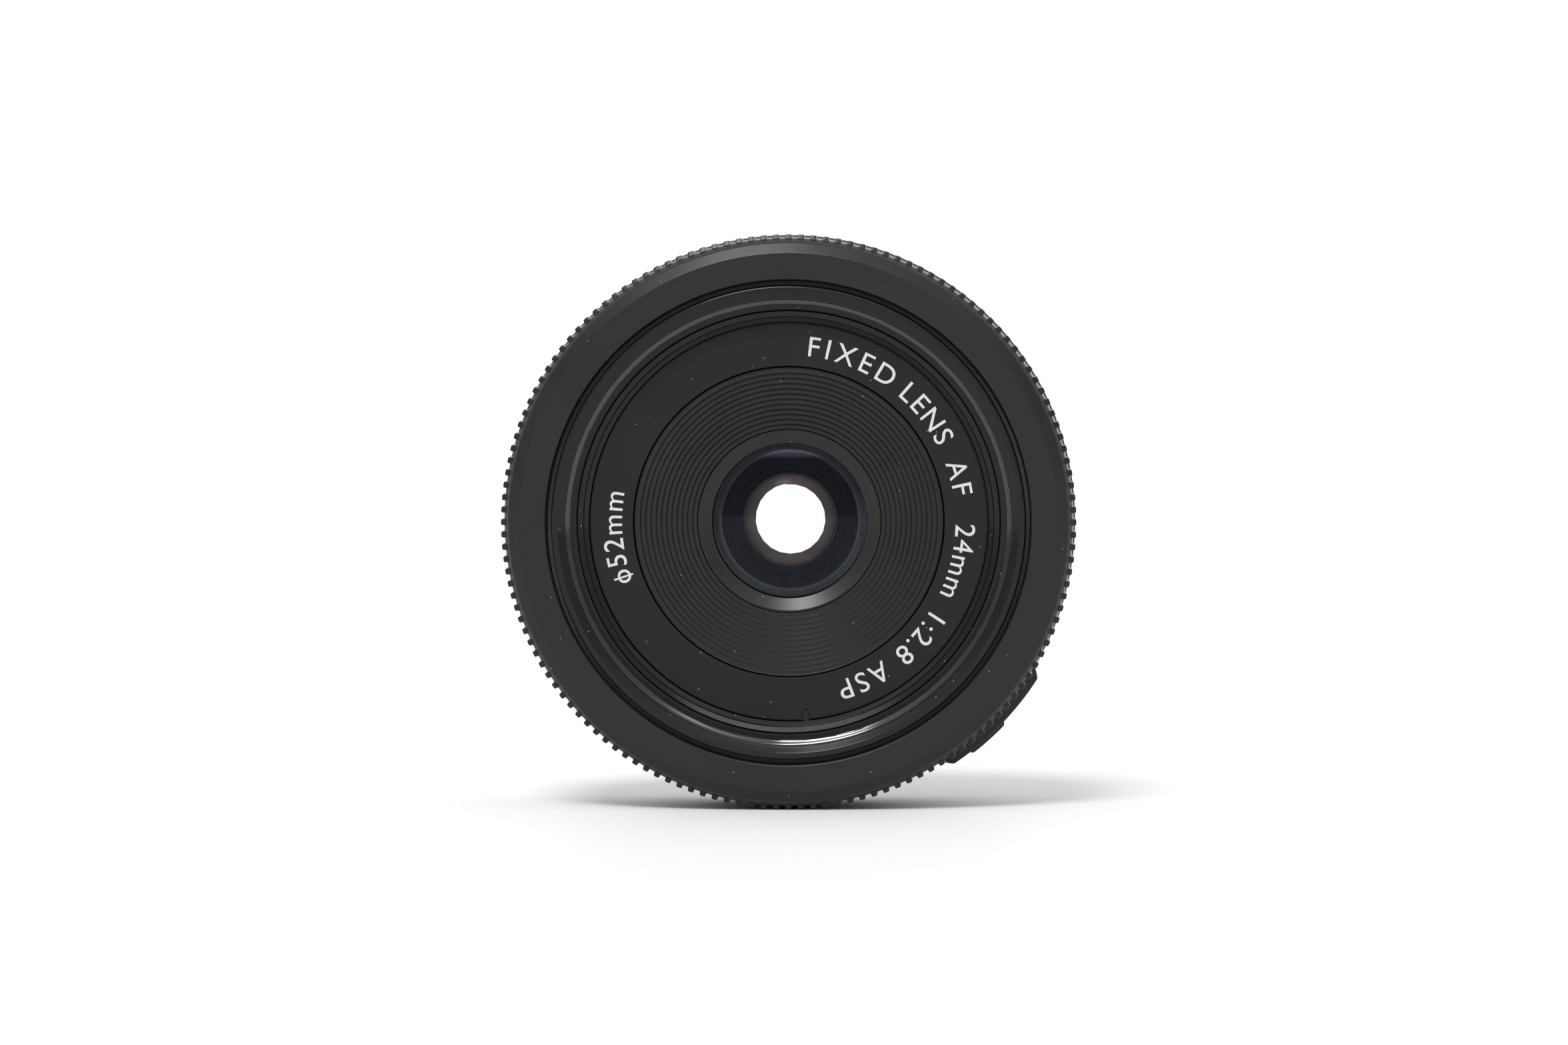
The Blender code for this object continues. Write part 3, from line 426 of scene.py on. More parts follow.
BAFFLE = moulded("baffle_black", (0.0125, 0.0133, 0.0129), 0.38, grain=0.12, depth=0.004, dust=0.15, turned=0.003,
                 sockets=LOW_GLOSS, squash=0.1)
SATIN = moulded("satin_plastic", (0.0135, 0.0142, 0.0137), 0.3, grain=0.25, depth=0.003, dust=0.2, turned=0.002,
                sockets=MID_GLOSS)
INNER = moulded("inner_plastic", (0.009, 0.0095, 0.0093), 0.55, grain=0.15, depth=0.008, sockets=LOW_GLOSS)
DEEP = moulded("deep_plastic", (0.0055, 0.0062, 0.0057), 0.6, grain=0.15, depth=0.008,
               sockets={"Specular IOR Level": 0.0})
# Black paint for the glass rims and seats, set lighter and bluish grey: a painted sheen for the light that the glass
# edge catches.
EDGE_BLACK_WITH_PAINTED_SHEEN = moulded("edge_black_with_painted_sheen", (0.075, 0.088, 0.10), 0.7, grain=0.15, depth=0.004, sockets=LOW_GLOSS)
RUBBER = moulded("seal_rubber", (0.017, 0.017, 0.017), 0.72, grain=0.16, depth=0.015, dust=0.1)
BLADE = moulded("iris_blade", (0.009, 0.0096, 0.0094), 0.6, grain=0.12, depth=0.003,
                sockets={"Specular IOR Level": 0.0})
CHROME = machined("mount_metal", (0.66, 0.66, 0.655), 0.24)
STEEL = machined("screw_steel", (0.5, 0.5, 0.51), 0.3)
ALUMINIUM = machined("cam_aluminium", (0.2, 0.2, 0.22), 0.36)
BRASS = machined("brass_gear", (0.72, 0.55, 0.26), 0.3)
GOLD = machined("gold_contact", (0.86, 0.62, 0.26), 0.2, spacing=0.15)
BOARD = moulded("circuit_board", (0.012, 0.09, 0.04), 0.4, grain=0.5, depth=0.01)
FILM = moulded("flexible_film", (0.32, 0.15, 0.02), 0.35, grain=0.4, depth=0.005)
FRONT_GLASS = coated_glass("lens_glass", 105.0, 0.24)
INNER_GLASS = coated_glass("lens_glass_inner", 105.0, 0.24)
LETTERS = printed("letter_print", (0.56, 0.57, 0.56))
WHITE = printed("index_white", (0.8, 0.8, 0.8))


# ---------------------------------------------------------------- focus ring

# Half a rib, from its middle: how far round as a share of the pitch, and how high
HALF_RIB = ((0.15, 1.0), (0.20, 0.94), (0.235, 0.74), (0.262, 0.14), (0.30, 0.0))


def rib_columns():
    """The angle and the height share of each column of points round the ribs."""
    pitch = 360 / RIB_COUNT
    columns = []
    for i in range(RIB_COUNT):
        columns += [((i - share) * pitch, height) for share, height in reversed(HALF_RIB)]
        columns += [((i + share) * pitch, height) for share, height in HALF_RIB]
    return columns


def make_focus_ring():
    """The ribbed ring. A row is (radius, u, share of the rib's height), and its radius is the valley's."""
    bore = 32.25
    rib_height = RIB_TIP_R - VALLEY_FRONT_R
    valley = {RIB_REAR_U: VALLEY_REAR_R, RIB_FRONT_U: VALLEY_FRONT_R}

    def valley_r(u):
        share = (u - RIB_REAR_U) / (RIB_FRONT_U - RIB_REAR_U)
        return valley[RIB_REAR_U] + (valley[RIB_FRONT_U] - valley[RIB_REAR_U]) * share

    rows = [(bore, RIB_REAR_U, 0), (COLLAR_R - 0.08, RIB_REAR_U, 0), (COLLAR_R, RIB_REAR_U + 0.06, 0.1),
            (COLLAR_R, RIB_REAR_U + 0.2, 0.4), (COLLAR_R - 0.04, RIB_REAR_U + 0.26, 0.9)]
    rows += [(valley_r(u), u, 1) for u in (RIB_REAR_U + 0.34, RIB_REAR_U + 0.42, 17.8, RIB_FRONT_U - 0.22)]
    rows += [(valley_r(RIB_FRONT_U - 0.1), RIB_FRONT_U - 0.1, 0.96), (valley_r(RIB_FRONT_U), RIB_FRONT_U, 0.7),
             (VALLEY_FRONT_R, RIB_FRONT_U + 0.03, 0.1), (VALLEY_FRONT_R - 0.06, RIB_FRONT_U + 0.12, 0)]
    face = rounded([(33.55, 21.15), (33.1, 21.75, 0.5), (31.9, 22.5, 0.25), (28.8, 22.5, 0.2), (28.6, 22.0),
                    (28.6, 20.9), (bore, 20.9), (bore, 19.3), (32.8, 19.3), (32.8, 18.5), (bore, 18.5)])
    rows += [(r, u, 0) for r, u in face]
    columns = rib_columns()
    rings = []
    for radius, u, share in rows:
        rise = (RIB_TIP_R - min(radius, RIB_TIP_R)) * share if u < RIB_FRONT_U - 0.2 else rib_height * share
        rings.append([point(radius + rise * height, angle, u) for angle, height in columns])
    add_piece("ribbed_focus_ring", from_rings(rings), "manual_ring", ["focus_ring"], RIB)


# ---------------------------------------------------------------- barrel and switch

def make_barrel():
    body = lathe(rounded([
        (27.6, 1.5), (32.35, 1.5, 0.15), (BARREL_R, 3.6, 0.8), (BARREL_R, 14.4, 0.12), (32.1, 14.4, 0.1),
        (32.1, 18.6), (31.5, 18.6), (31.5, 19.2), (32.1, 19.2), (32.1, 19.8), (30.9, 19.8), (30.9, 13.2),
        (32.7, 13.2), (32.7, 2.6), (27.6, 2.6)]), 288)
    pad = saddle(33.8, PAD_TOP_R, -58.6, -30.1, 2.8, 5.0, 13.4, 0.55, 0.25)
    slot = arc_bar([(32.0, 8.3), (32.0, 10.1), (36.0, 10.1), (36.0, 8.3)], -50.2, -38.5)
    track = arc_bar([(34.6, 7.1, 0.1), (34.6, 11.3, 0.1), (36.5, 11.3), (36.5, 7.1)], -53.4, -35.4)
    holes = [lathe_about((SCREW_CIRCLE_R, INDEX_ANGLE + 45 + 90 * i),
                         [(0, 1.0), (0.95, 1.0), (0.95, 3.2), (0, 3.2)])
             for i in range(4)]
    mesh = carved("moulded_barrel", body, [pad], [slot, track, *holes])
    add_piece("moulded_barrel", mesh, "barrel", ["main_barrel"], BODY)


def make_switch():
    """The knob: a smooth block with eased ends, on its stem and foot."""
    sections = []
    half, count = 4.6, 60
    for angle in spread(-half, half, count):
        edge = min(1.0, (half - abs(angle)) / 0.9)
        dome = sqrt(max(0.0, 1 - (1 - edge) ** 2))
        top = 34.85 + 0.74 * dome
        section = rounded([(34.75, 7.95), (34.75, 10.45), (top, 10.3, 0.18), (top, 8.1, 0.18)])
        sections.append([point(r, SWITCH_ANGLE + angle, u) for r, u in section])
    knob = loft(sections)
    stem = arc_bar([(31.9, 8.6), (31.9, 9.8), (34.9, 9.8), (34.9, 8.6)],
                   SWITCH_ANGLE - 1.7, SWITCH_ANGLE + 1.7, 6)
    foot = arc_bar([(31.6, 7.6), (31.6, 10.8), (32.2, 10.8), (32.2, 7.6)],
                   SWITCH_ANGLE - 2.8, SWITCH_ANGLE + 2.8, 8)
    mesh = carved("eased_switch_knob", knob, [stem, foot])
    add_piece("eased_switch_knob", mesh, "af_mf_switch", ["switch_knob"], BODY)


# ---------------------------------------------------------------- moving front

THREAD_PITCH = 0.75
THREAD_U = (19.95, 22.25)
THREAD_ROOT_R, THREAD_CREST_R = 26.4, 25.9
THREAD_CREST_SHARE, THREAD_ROOT_SHARE = 0.12, 0.2


def thread_radius(angle, u):
    """An internal thread: its crests stand in from the wall, and fade out at either end."""
    place = abs(((u - THREAD_U[0]) / THREAD_PITCH - angle / 360) % 1 - 0.5) * 2
    wave = min(1.0, max(0.0, (place - THREAD_ROOT_SHARE) / (1 - THREAD_CREST_SHARE - THREAD_ROOT_SHARE)))
    ends = min(1.0, (u - THREAD_U[0]) / 0.25, (THREAD_U[1] - u) / 0.25)
    return THREAD_ROOT_R - (THREAD_ROOT_R - THREAD_CREST_R) * max(0.0, ends) * wave


def make_front_barrel():
    front = rounded([(26.35, 16.7), (27.0, 16.7), (27.0, 13.5), (28.0, 13.5), (28.0, FRONT_U, 0.22),
                     (27.3, FRONT_U, 0.12), (26.66, 22.36, 0.08), (26.42, 22.3)])
    rear = rounded([(26.3, 19.9), (25.15, 19.9, 0.1), (25.0, 20.15, 0.06), (24.4, 19.97, 0.03), (24.33, 19.86, 0.02),
                    (24.24, 19.92, 0.03), (23.74, 19.46, 0.03), (23.62, 18.2), (20.5, 18.2), (20.5, 16.7)])
    angles = spread(0, 360, ROUND_STEPS)[:-1]
    rings = [[point(r, a, u) for a in angles] for r, u in front]
    rings += [[point(thread_radius(a, u), a, u) for a in angles] for u in spread(THREAD_U[1], THREAD_U[0], 72)]
    rings += [[point(r, a, u) for a in angles] for r, u in rear]
    made = add_piece("threaded_front_barrel", from_rings(rings), "optical_unit", ["front_barrel"], GLOSS)
    made.data.materials.append(THREAD)
    for face in made.data.polygons:
        spot = face.center - point(0, 0, 0)
        radius = hypot(spot.x, spot.z) / MM
        if THREAD_CREST_R - 0.1 < radius < THREAD_ROOT_R and THREAD_U[0] < u_of(face.center.y) < THREAD_U[1]:
            face.material_index = 1


def make_name_ring():
    ring = lathe(rounded([(18.5, 18.5), (23.46, 18.5), (23.5, 19.3, 0.04), (18.5, 19.3, 0.06)]))
    notch = [(0.57, 1.2), (0.57, 0.35), (0.42, 0.1)]
    notch += [(0.42 * cos(a), -0.5 + 0.42 * sin(a)) for a in (radians(-d) for d in spread(0, 180, 12))]
    notch += [(-x, y) for x, y in reversed([(0.57, 1.2), (0.57, 0.35), (0.42, 0.1)])]
    turn = radians(-85 - 90)
    outline = [(x * cos(turn) - y * sin(turn), x * sin(turn) + y * cos(turn)) for x, y in notch]
    mesh = carved("painted_name_ring", ring, (), [prism(outline, 18.0, 20.0, (23.2, -85))])
    add_piece("painted_name_ring", mesh, "optical_unit", ["name_ring"], NAME)


def make_name_ring_key():
    """The front barrel's key, which fills the notch and stops the name ring turning."""
    half = 0.31
    arch = [(half, 0.7)]
    arch += [(half * cos(radians(a)), -0.5 - half * sin(radians(a))) for a in spread(0, 180, 16)]
    arch += [(-half, 0.7)]
    turn = radians(-85 - 90)
    outline = [(x * cos(turn) - y * sin(turn), x * sin(turn) + y * cos(turn)) for x, y in arch]
    add_piece("name_ring_key", prism(outline, 18.1, 19.27, (23.2, -85)), "optical_unit", [], GLOSS)


def make_light_seal():
    """A thin felt washer inside the focus ring's front wall, close round the front barrel."""
    seal = rounded([(28.08, 21.0, 0.05), (28.08, 21.5, 0.1), (28.58, 21.5, 0.05), (28.58, 21.0)])
    add_piece("felt_light_seal", lathe(seal), "manual_ring", [], RUBBER)


# Words round the name ring, each with the angles of its two ends
WORDS = (("FIXED", 83.4, 53.6), ("LENS", 48.9, 27.1), ("AF", 20.4, 9.0), ("24mm", -0.9, -25.2),
         ("1:2.8", -32.6, -50.9), ("ASP", -56.0, -73.2), ("o52mm", 200.6, 170.2))
LETTER_R = 20.85
DIAMETER_BAR_ANGLE = 198.5
CAP_HEIGHT = 2.1
CAP_SHARE = 0.62


def word_mesh(text, spacing):
    curve = bpy.data.curves.new("word", "FONT")
    curve.body = text
    curve.size = CAP_HEIGHT / CAP_SHARE
    curve.space_character = spacing
    curve.offset = 0.003
    curve.resolution_u = 4
    shape = bpy.data.objects.new("word", curve)
    bpy.context.scene.collection.objects.link(shape)
    mesh = bpy.data.meshes.new_from_object(shape.evaluated_get(bpy.context.evaluated_depsgraph_get()))
    bpy.data.objects.remove(shape)
    return mesh


def width_of(mesh):
    xs = [v.co.x for v in mesh.vertices]
    return min(xs), max(xs)


def make_lettering():
    """Printed letters, a hair thick, bent round the ring with their tops outward."""
    bm = bmesh.new()
    top_u = u_span("name_ring")[1] + 0.012
    for text, first, last in WORDS:
        wanted = radians(abs(first - last)) * LETTER_R
        widths = []
        for spacing in (1.0, 1.2):
            low, high = width_of(word_mesh(text, spacing))
            widths.append(high - low)
        spacing = 1.0 + 0.2 * (wanted - widths[0]) / max(widths[1] - widths[0], 1e-6)
        mesh = word_mesh(text, spacing)
        low, _ = width_of(mesh)
        for v in mesh.vertices:
            angle = first - degrees((v.co.x - low) / LETTER_R)
            v.co = point(LETTER_R - CAP_HEIGHT / 2 + v.co.y, angle, top_u)
        bm.from_mesh(mesh)
    bar_angle = DIAMETER_BAR_ANGLE
    corners = [(LETTER_R + y, bar_angle + x)
               for x, y in ((-0.3, -1.35), (-0.3, 1.0), (0.3, 1.0), (0.3, -1.35))]
    bm.faces.new([bm.verts.new(point(r, angle, top_u + 0.003)) for r, angle in corners])
    add_piece("ring_lettering", finished("ring_lettering", bm), "optical_unit", [], LETTERS)


RIDGES = 12
BAFFLE_FOOT, BAFFLE_RIM = (10.98, 16.25), (18.32, 19.15)


def make_baffle():
    """The conical light baffle: fine ridges, each a sloping tread and a steep riser."""
    corners = []
    for i in range(RIDGES):
        low, high = i / RIDGES, (i + 1) / RIDGES
        r = BAFFLE_FOOT[0] + (BAFFLE_RIM[0] - BAFFLE_FOOT[0]) * low
        after = BAFFLE_FOOT[0] + (BAFFLE_RIM[0] - BAFFLE_FOOT[0]) * high
        u = BAFFLE_FOOT[1] + (BAFFLE_RIM[1] - BAFFLE_FOOT[1]) * low
        corners += [(r, u + 0.14, 0.06), (r + 0.72 * (after - r), u + 0.09, 0.05)]
    corners += [(BAFFLE_RIM[0], BAFFLE_RIM[1]), (BAFFLE_RIM[0], 18.3), (11.7, 15.5), (BAFFLE_FOOT[0], 15.5)]
    add_piece("ridged_baffle", lathe(rounded(corners)), "optical_unit", ["front_baffle"], BAFFLE)


def make_cells():
    ring = rounded([(9.35, 15.0), (10.7, 15.0), (10.9, 15.7), (10.9, 16.1, 0.04), (10.68, 16.14, 0.1),
                    (9.24, 15.5, 0.05), (9.2, 15.25)])
    add_piece("satin_retaining_ring", lathe(ring), "optical_unit", ["front_retaining_ring"], SATIN)
    cell = rounded([
        (5.2, 8.0), (6.5, 8.0), (6.5, 9.4), (7.3, 9.4), (7.3, 10.3), (10.7, 10.3), (10.7, 14.7, 0.1), (9.3, 14.7, 0.1),
        (9.3, 11.1, 0.05), (7.9, 11.1, 0.05), (7.7, 10.9, 0.05), (7.2, 11.1, 0.05), (7.0, 10.9, 0.05),
        (6.6, 11.1, 0.05), (6.0, 11.1, 0.08), (6.0, 10.0), (5.2, 10.0, 0.05)])
    add_piece("front_lens_cell", lathe(cell), "optical_unit", ["front_cell"], DEEP)
    cell = rounded([
        (5.6, 5.5), (8.6, 5.5), (8.6, 4.1), (12.0, 4.1), (12.0, 3.1, 0.1), (8.6, 3.1, 0.1), (8.6, -4.9, 0.25),
        (7.6, -4.9, 0.12), (7.6, -1.5), (6.6, -1.5), (6.6, 1.25), (5.0, 1.25), (5.0, 1.9), (5.6, 1.9)])
    add_piece("rear_lens_cell", lathe(cell), "optical_unit", ["rear_cell"], INNER)
    ring = rounded([(6.9, -4.9, 0.08), (7.5, -4.9, 0.05), (7.5, -4.3), (6.6, -4.3, 0.05)])
    add_piece("rear_glass_ring", lathe(ring), "optical_unit", ["rear_retaining_ring"], SATIN)
    housing = rounded([(4.07, 5.85, 0.05), (9.95, 5.85), (9.95, 7.95), (9.35, 7.95), (9.35, 6.45),
                       (4.07, 6.45, 0.05)])
    add_piece("iris_stop_plate", lathe(housing), "optical_unit", ["iris_housing"], DEEP)
    carriage = rounded([(18.9, 2.0, 0.15), (20.3, 2.0, 0.15), (20.3, 16.4), (18.9, 16.4), (18.9, 5.6), (9.2, 5.6),
                        (9.2, 4.4, 0.1), (18.9, 4.4, 0.2)])
    add_piece("sliding_carriage", lathe(carriage), "optical_unit", ["focus_carriage"], INNER)


# ---------------------------------------------------------------- glass

def sag(radius, curvature):
    return curvature - sqrt(curvature * curvature - radius * radius) * (1 if curvature > 0 else -1)


# Name, rim radius, front vertex u and curvature, rear vertex u and curvature, rear clear radius, coating
ELEMENTS = (
    ("front_element", 9.15, 15.1, 34.0, 14.0, 13.0, 7.9, FRONT_GLASS),
    ("second_element", 5.85, 11.9, 16.0, 10.1, -40.0, 5.85, INNER_GLASS),
    ("doublet_front_element", 5.5, 4.9, -22.0, 4.1, 14.0, 5.5, INNER_GLASS),
    ("doublet_rear_element", 5.5, 4.04, 14.0, 1.5, -18.0, 5.5, INNER_GLASS),
    ("aspheric_element", 6.5, 0.4, -40.0, -1.0, -16.0, 6.5, INNER_GLASS),
    ("rear_element", 7.5, -2.2, 60.0, -4.0, -40.0, 7.5, FRONT_GLASS),
)


def make_glass():
    """Each element is polished on both faces, with its ground rim and rear seat painted black. That black is set
    lighter and bluish grey, a painted sheen for the light that the glass edge catches.
    """
    for name, rim_r, front_u, front_curve, rear_u, rear_curve, clear_r, glass in ELEMENTS:
        front = [(r, front_u - sag(r, front_curve)) for r in spread(0, rim_r - 0.12, 20)]
        rear = [(r, rear_u - sag(r, rear_curve)) for r in spread(0, min(clear_r, rim_r - 0.12), 20)]
        front_rim = front_u - sag(rim_r, front_curve)
        rear_rim = rear[-1][1]
        chamfer = [(rim_r, front_rim - 0.08), (rim_r, rear_rim + 0.08), (rim_r - 0.08, rear_rim)]
        made = add_piece(f"polished_{name}", lathe(front + chamfer + rear[::-1], GLASS_STEPS),
                         "optical_unit", [name], glass)
        # The ground rim and rear seat take the edge colour, whose lightness and blue tint are a painted sheen.
        made.data.materials.append(EDGE_BLACK_WITH_PAINTED_SHEEN)
        for face in made.data.polygons:
            spot = face.center - point(0, 0, 0)
            radius = hypot(spot.x, spot.z) / MM
            outside = radius > rim_r - 0.12
            seat = radius > clear_r and u_of(face.center.y) < rear_rim + 0.05
            if outside or seat:
                face.material_index = 1


# ---------------------------------------------------------------- bayonet and rear

def cross_recess(head_r):
    long, short = 0.6 * head_r, 0.13 * head_r
    return [(long, short), (short, short), (short, long), (-short, long), (-short, short), (-long, short),
            (-long, -short), (-short, -short), (-short, -long), (short, -long), (short, -short), (long, -short)]


def make_bayonet():
    ring = lathe(rounded([
        (23.9, 1.2), (32.3, 1.2, 0.1), (32.3, 0.0, 0.18), (25.35, 0, 0.1), (25.35, -5.6, 0.3), (23.9, -5.6, 0.12)]), 256)
    lugs = []
    for middle, length in zip(LUG_CENTRES, LUG_LENGTHS):
        lugs.append(arc_bar([(24.6, -3.1), (24.6, -1.7), (26.9, -1.7, 0.12), (26.9, -3.1, 0.3)],
                            middle - length / 2, middle + length / 2))
    holes = []
    for i in range(4):
        centre = (SCREW_CIRCLE_R, INDEX_ANGLE + 45 + 90 * i)
        holes.append(lathe_about(centre, [(0, -0.5), (1.9, -0.5), (1.6, 0.12), (1.6, 0.65), (0.9, 0.65), (0.9, 1.6),
                                          (0, 1.6)]))
    holes.append(arc_bar([(28.2, -0.5), (28.2, 1.6), (30.6, 1.6), (30.6, -0.5)],
                         INDEX_ANGLE - 98, INDEX_ANGLE - 92, 8))
    holes.append(lathe_about((29.6, INDEX_ANGLE), [(0, -0.5), (0.95, -0.5), (0.85, 0.05), (0.85, 0.7), (0, 0.7)]))
    mesh = carved("turned_bayonet", ring, lugs, holes)
    add_piece("turned_bayonet", mesh, "barrel", ["bayonet_mount"], CHROME)
    dot = lathe_about((29.6, INDEX_ANGLE),
                      [(0, -0.01), (0.3, -0.02), (0.6, 0.0), (0.75, 0.08), (0.75, 0.5), (0, 0.5)])
    add_piece("painted_index_mark", dot, "barrel", ["index_mark"], WHITE)


def make_screw(name, node, centre, head_u, head_r, head_height, shank_r, tip_u):
    profile = [(0, head_u - 0.02), (head_r * 0.6, head_u), (head_r * 0.9, head_u + 0.05), (head_r, head_u + 0.14),
               (head_r, head_u + head_height), (shank_r, head_u + head_height), (shank_r, tip_u), (0, tip_u)]
    body = lathe_about(centre, profile)
    recess = prism(cross_recess(head_r), head_u - 0.3, head_u + 0.3 * head_r, centre)
    add_piece(name, carved(name, body, (), [recess]), "barrel", [node], STEEL)


def make_screws():
    for i in range(4):
        make_screw(f"cross_mount_screw_{i + 1}", f"mount_screw_{i + 1}", (SCREW_CIRCLE_R, INDEX_ANGLE + 45 + 90 * i),
                   0.06, 1.4, 0.5, 0.7, 2.5)
    for i, side in enumerate((-28, 28), 1):
        make_screw(f"cross_contact_screw_{i}", f"contact_screw_{i}", (22.0, CONTACT_ANGLE + side),
                   -5.45, 0.8, 0.35, 0.35, -4.2)


def make_rear():
    bezel = lathe(rounded([
        (12.4, -4.8, 0.25), (23.6, -4.8, 0.2), (23.6, 1.0), (22.8, 1.0), (22.8, -3.9), (13.2, -3.9), (13.2, -1.6),
        (12.4, -1.6, 0.1)]))
    holes = [lathe_about((22.0, CONTACT_ANGLE + side), [(0, -5.2), (0.6, -5.2), (0.6, -3.4), (0, -3.4)])
             for side in (-28, 28)]
    add_piece("moulded_rear_bezel", carved("moulded_rear_bezel", bezel, (), holes), "barrel",
              ["rear_bezel"], INNER)
    seal = rounded([(16.2, -5.05), (19.6, -5.05), (19.6, -6.0, 0.2), (19.2, REAR_U, 0.2), (17.0, REAR_U, 0.4)])
    add_piece("soft_rear_ring", lathe(seal), "barrel", ["rear_rubber_ring"], RUBBER)
    block = arc_bar([(20.5, -5.7, 0.12), (23.6, -5.7, 0.12), (23.6, -5.05), (20.5, -5.05)],
                    CONTACT_ANGLE - 32, CONTACT_ANGLE + 32)
    window = arc_bar([(21.1, -6.0), (22.9, -6.0), (22.9, -4.9), (21.1, -4.9)],
                     CONTACT_ANGLE - 22, CONTACT_ANGLE + 22)
    holes = [lathe_about((22.0, CONTACT_ANGLE + side), [(0, -6.0), (0.95, -6.0), (0.95, -4.9), (0, -4.9)])
             for side in (-28, 28)]
    add_piece("contact_housing", carved("contact_housing", block, (), [window, *holes]), "barrel", ["contact_block"],
              INNER)
    strip = arc_bar([(21.35, -5.5), (22.65, -5.5), (22.65, -5.1), (21.35, -5.1)], CONTACT_ANGLE - 21,
                    CONTACT_ANGLE + 21)
    pins = [lathe_about((22.0, CONTACT_ANGLE + (i - 3.5) * 5.2),
                        [(0, -5.92), (0.2, -5.9), (0.36, -5.8), (0.42, -5.66), (0.42, -5.2), (0, -5.2)])
            for i in range(8)]
    strip_mesh = carved("contact_pins", strip, pins)
    made = add_piece("contact_pins", strip_mesh, "barrel", ["contact_strip"], GOLD)
    made.data.materials.append(INNER)
    for face in made.data.polygons:
        spot = face.center
        near_pin = min((spot - point(22.0, CONTACT_ANGLE + (i - 3.5) * 5.2, u_of(spot.y))).length
                       for i in range(8))
        if near_pin > 0.45 * MM:
            face.material_index = 1


# ---------------------------------------------------------------- carried-over CAD nodes

CARRIED = {
    INNER: ["iris_cover", "encoder_comb", "ring_sensor", "rear_spacer"],
    BOARD: ["main_board", "switch_board"],
    FILM: ["flexible_circuit"],
    ALUMINIUM: ["cam_ring", "guide_barrel", "iris_drive_ring"],
    BRASS: ["idler_gear", "motor_pinion", "iris_pinion", "cam_follower_1", "cam_follower_2", "cam_follower_3"],
    STEEL: ["detent_spring", "focus_ring_clip", "idler_axle", "motor_bracket", "focus_motor", "iris_motor"],
    BLADE: [f"iris_blade_{i + 1}" for i in range(7)],
}


def dress_carried_nodes():
    for material, names in CARRIED.items():
        for name in names:
            mesh = NODES[name].data
            mesh.materials.clear()
            mesh.materials.append(material)


# ---------------------------------------------------------------- stage, light and camera

CAMERA_DISTANCE = 0.94
CAMERA_AZIMUTH = radians(1.3)
CAMERA_ELEVATION = radians(1.9)
FRAME_WIDTH = 0.1861
SENSOR = 36.0
RING_RIGHT_OF_CENTRE = 0.00057
RING_ABOVE_CENTRE = 0.00009


def make_floor():
    bm = bmesh.new()
    bmesh.ops.create_grid(bm, x_segments=8, y_segments=8, size=40.0)
    floor = bpy.data.objects.new("studio_floor", finished("studio_floor", bm))
    bpy.context.scene.collection.objects.link(floor)
    floor.location.z = CAD_BOX[0][2] - 0.00002
    material, tree, shader = start_material("pale_floor", {"Roughness": 0.5, "Specular IOR Level": 0.1})
    mist = noise(tree, object_place(tree), 5.0, 2.0).outputs["Fac"]
    link(tree, scaled_colour(tree, (0.70, 0.706, 0.70), remap(tree, mist, 0.3, 0.7, 0.99, 1.01)),
         shader.inputs["Base Color"])
    floor.data.materials.append(material)


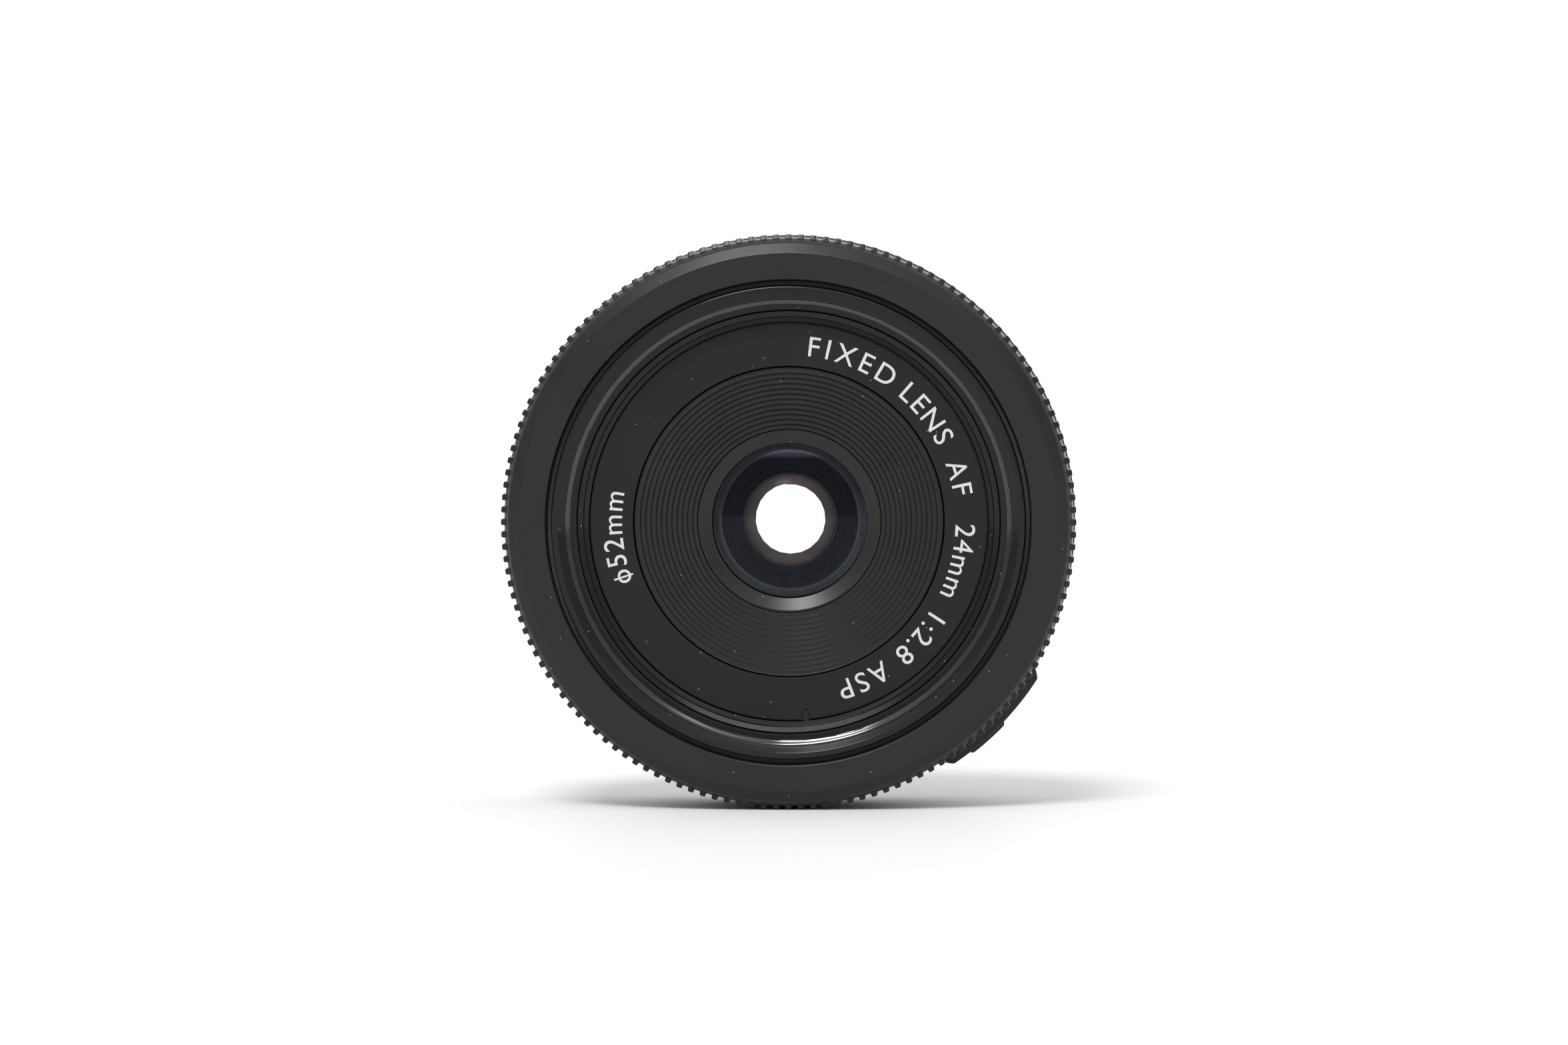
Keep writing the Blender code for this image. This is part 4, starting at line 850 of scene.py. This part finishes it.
def make_world():
    """White all round to look at. As light it is white behind and overhead, dim from the front, and has a
    bright soft patch high in front."""
    world = bpy.data.worlds.new("studio")
    world.use_nodes = True
    tree = world.node_tree
    background = tree.nodes["Background"]
    background.inputs["Strength"].default_value = 1.0
    direction = add_node(tree, "SeparateXYZ", {0: add_node(tree, "TexCoord").outputs["Generated"]})
    behind = remap(tree, direction.outputs["Y"], 0.0, 0.5, 0.0, 1.0)
    above = remap(tree, direction.outputs["Z"], 0.45, 0.85, 0.0, 1.0)
    lit = add_node(tree, "Math", {0: behind, 1: above}, operation="MAXIMUM").outputs[0]
    light = remap(tree, lit, 0.0, 1.0, 0.55, 1.1)
    side = add_node(tree, "Math", {0: direction.outputs["X"]}, operation="ABSOLUTE").outputs[0]
    height = add_node(tree, "Math", {0: direction.outputs["Z"], 1: 0.48}, operation="SUBTRACT").outputs[0]
    height = add_node(tree, "Math", {0: height}, operation="ABSOLUTE").outputs[0]
    box = remap(tree, side, 0.2, 0.34, 4.0, 0.0)
    for edge in (remap(tree, height, 0.03, 0.08, 1.0, 0.0),
                 remap(tree, direction.outputs["Y"], -0.5, -0.6, 0.0, 1.0)):
        box = add_node(tree, "Math", {0: box, 1: edge}, operation="MULTIPLY").outputs[0]
    light = add_node(tree, "Math", {0: box, 1: light}, operation="ADD").outputs[0]
    seen = add_node(tree, "LightPath").outputs["Is Camera Ray"]
    level = add_node(tree, "Mix", {"Factor": seen, "A": light, "B": 1.0}).outputs["Result"]
    colour = add_node(tree, "CombineColor", {"Red": level, "Green": level, "Blue": level})
    link(tree, colour.outputs[0], background.inputs["Color"])
    bpy.context.scene.world = world


def make_lights():
    sun = bpy.data.lights.new("overhead_key", "SUN")
    sun.energy = 2.4
    sun.angle = radians(20)
    lamp = bpy.data.objects.new("overhead_key", sun)
    lamp.rotation_euler = Vector((-0.2, -0.8, 1.0)).to_track_quat("Z", "Y").to_euler()
    bpy.context.scene.collection.objects.link(lamp)


def make_camera():
    back = Vector((sin(CAMERA_AZIMUTH) * cos(CAMERA_ELEVATION), -cos(CAMERA_AZIMUTH) * cos(CAMERA_ELEVATION),
                   sin(CAMERA_ELEVATION)))
    right = Vector((cos(CAMERA_AZIMUTH), sin(CAMERA_AZIMUTH), 0))
    target = point(0, 0, 19.0) - right * RING_RIGHT_OF_CENTRE - Vector((0, 0, RING_ABOVE_CENTRE))
    data = bpy.data.cameras.new("camera")
    data.sensor_width = SENSOR
    data.lens = SENSOR * CAMERA_DISTANCE / FRAME_WIDTH
    data.clip_end = 100.0
    camera = bpy.data.objects.new("camera", data)
    camera.location = target + back * CAMERA_DISTANCE
    camera.rotation_euler = back.to_track_quat("Z", "Y").to_euler()
    bpy.context.scene.collection.objects.link(camera)
    bpy.context.scene.camera = camera


def set_rendering():
    scene = bpy.context.scene
    scene.view_settings.view_transform = "Standard"
    scene.cycles.max_bounces = 32
    scene.cycles.sample_clamp_indirect = 1.2
    scene.cycles.transmission_bounces = 32
    scene.cycles.glossy_bounces = 8
    scene.cycles.transparent_max_bounces = 16


make_focus_ring()
make_barrel()
make_switch()
make_front_barrel()
make_name_ring()
make_name_ring_key()
make_lettering()
make_light_seal()
make_baffle()
make_cells()
make_glass()
make_bayonet()
make_screws()
make_rear()
dress_carried_nodes()
make_floor()
make_world()
make_lights()
make_camera()
set_rendering()
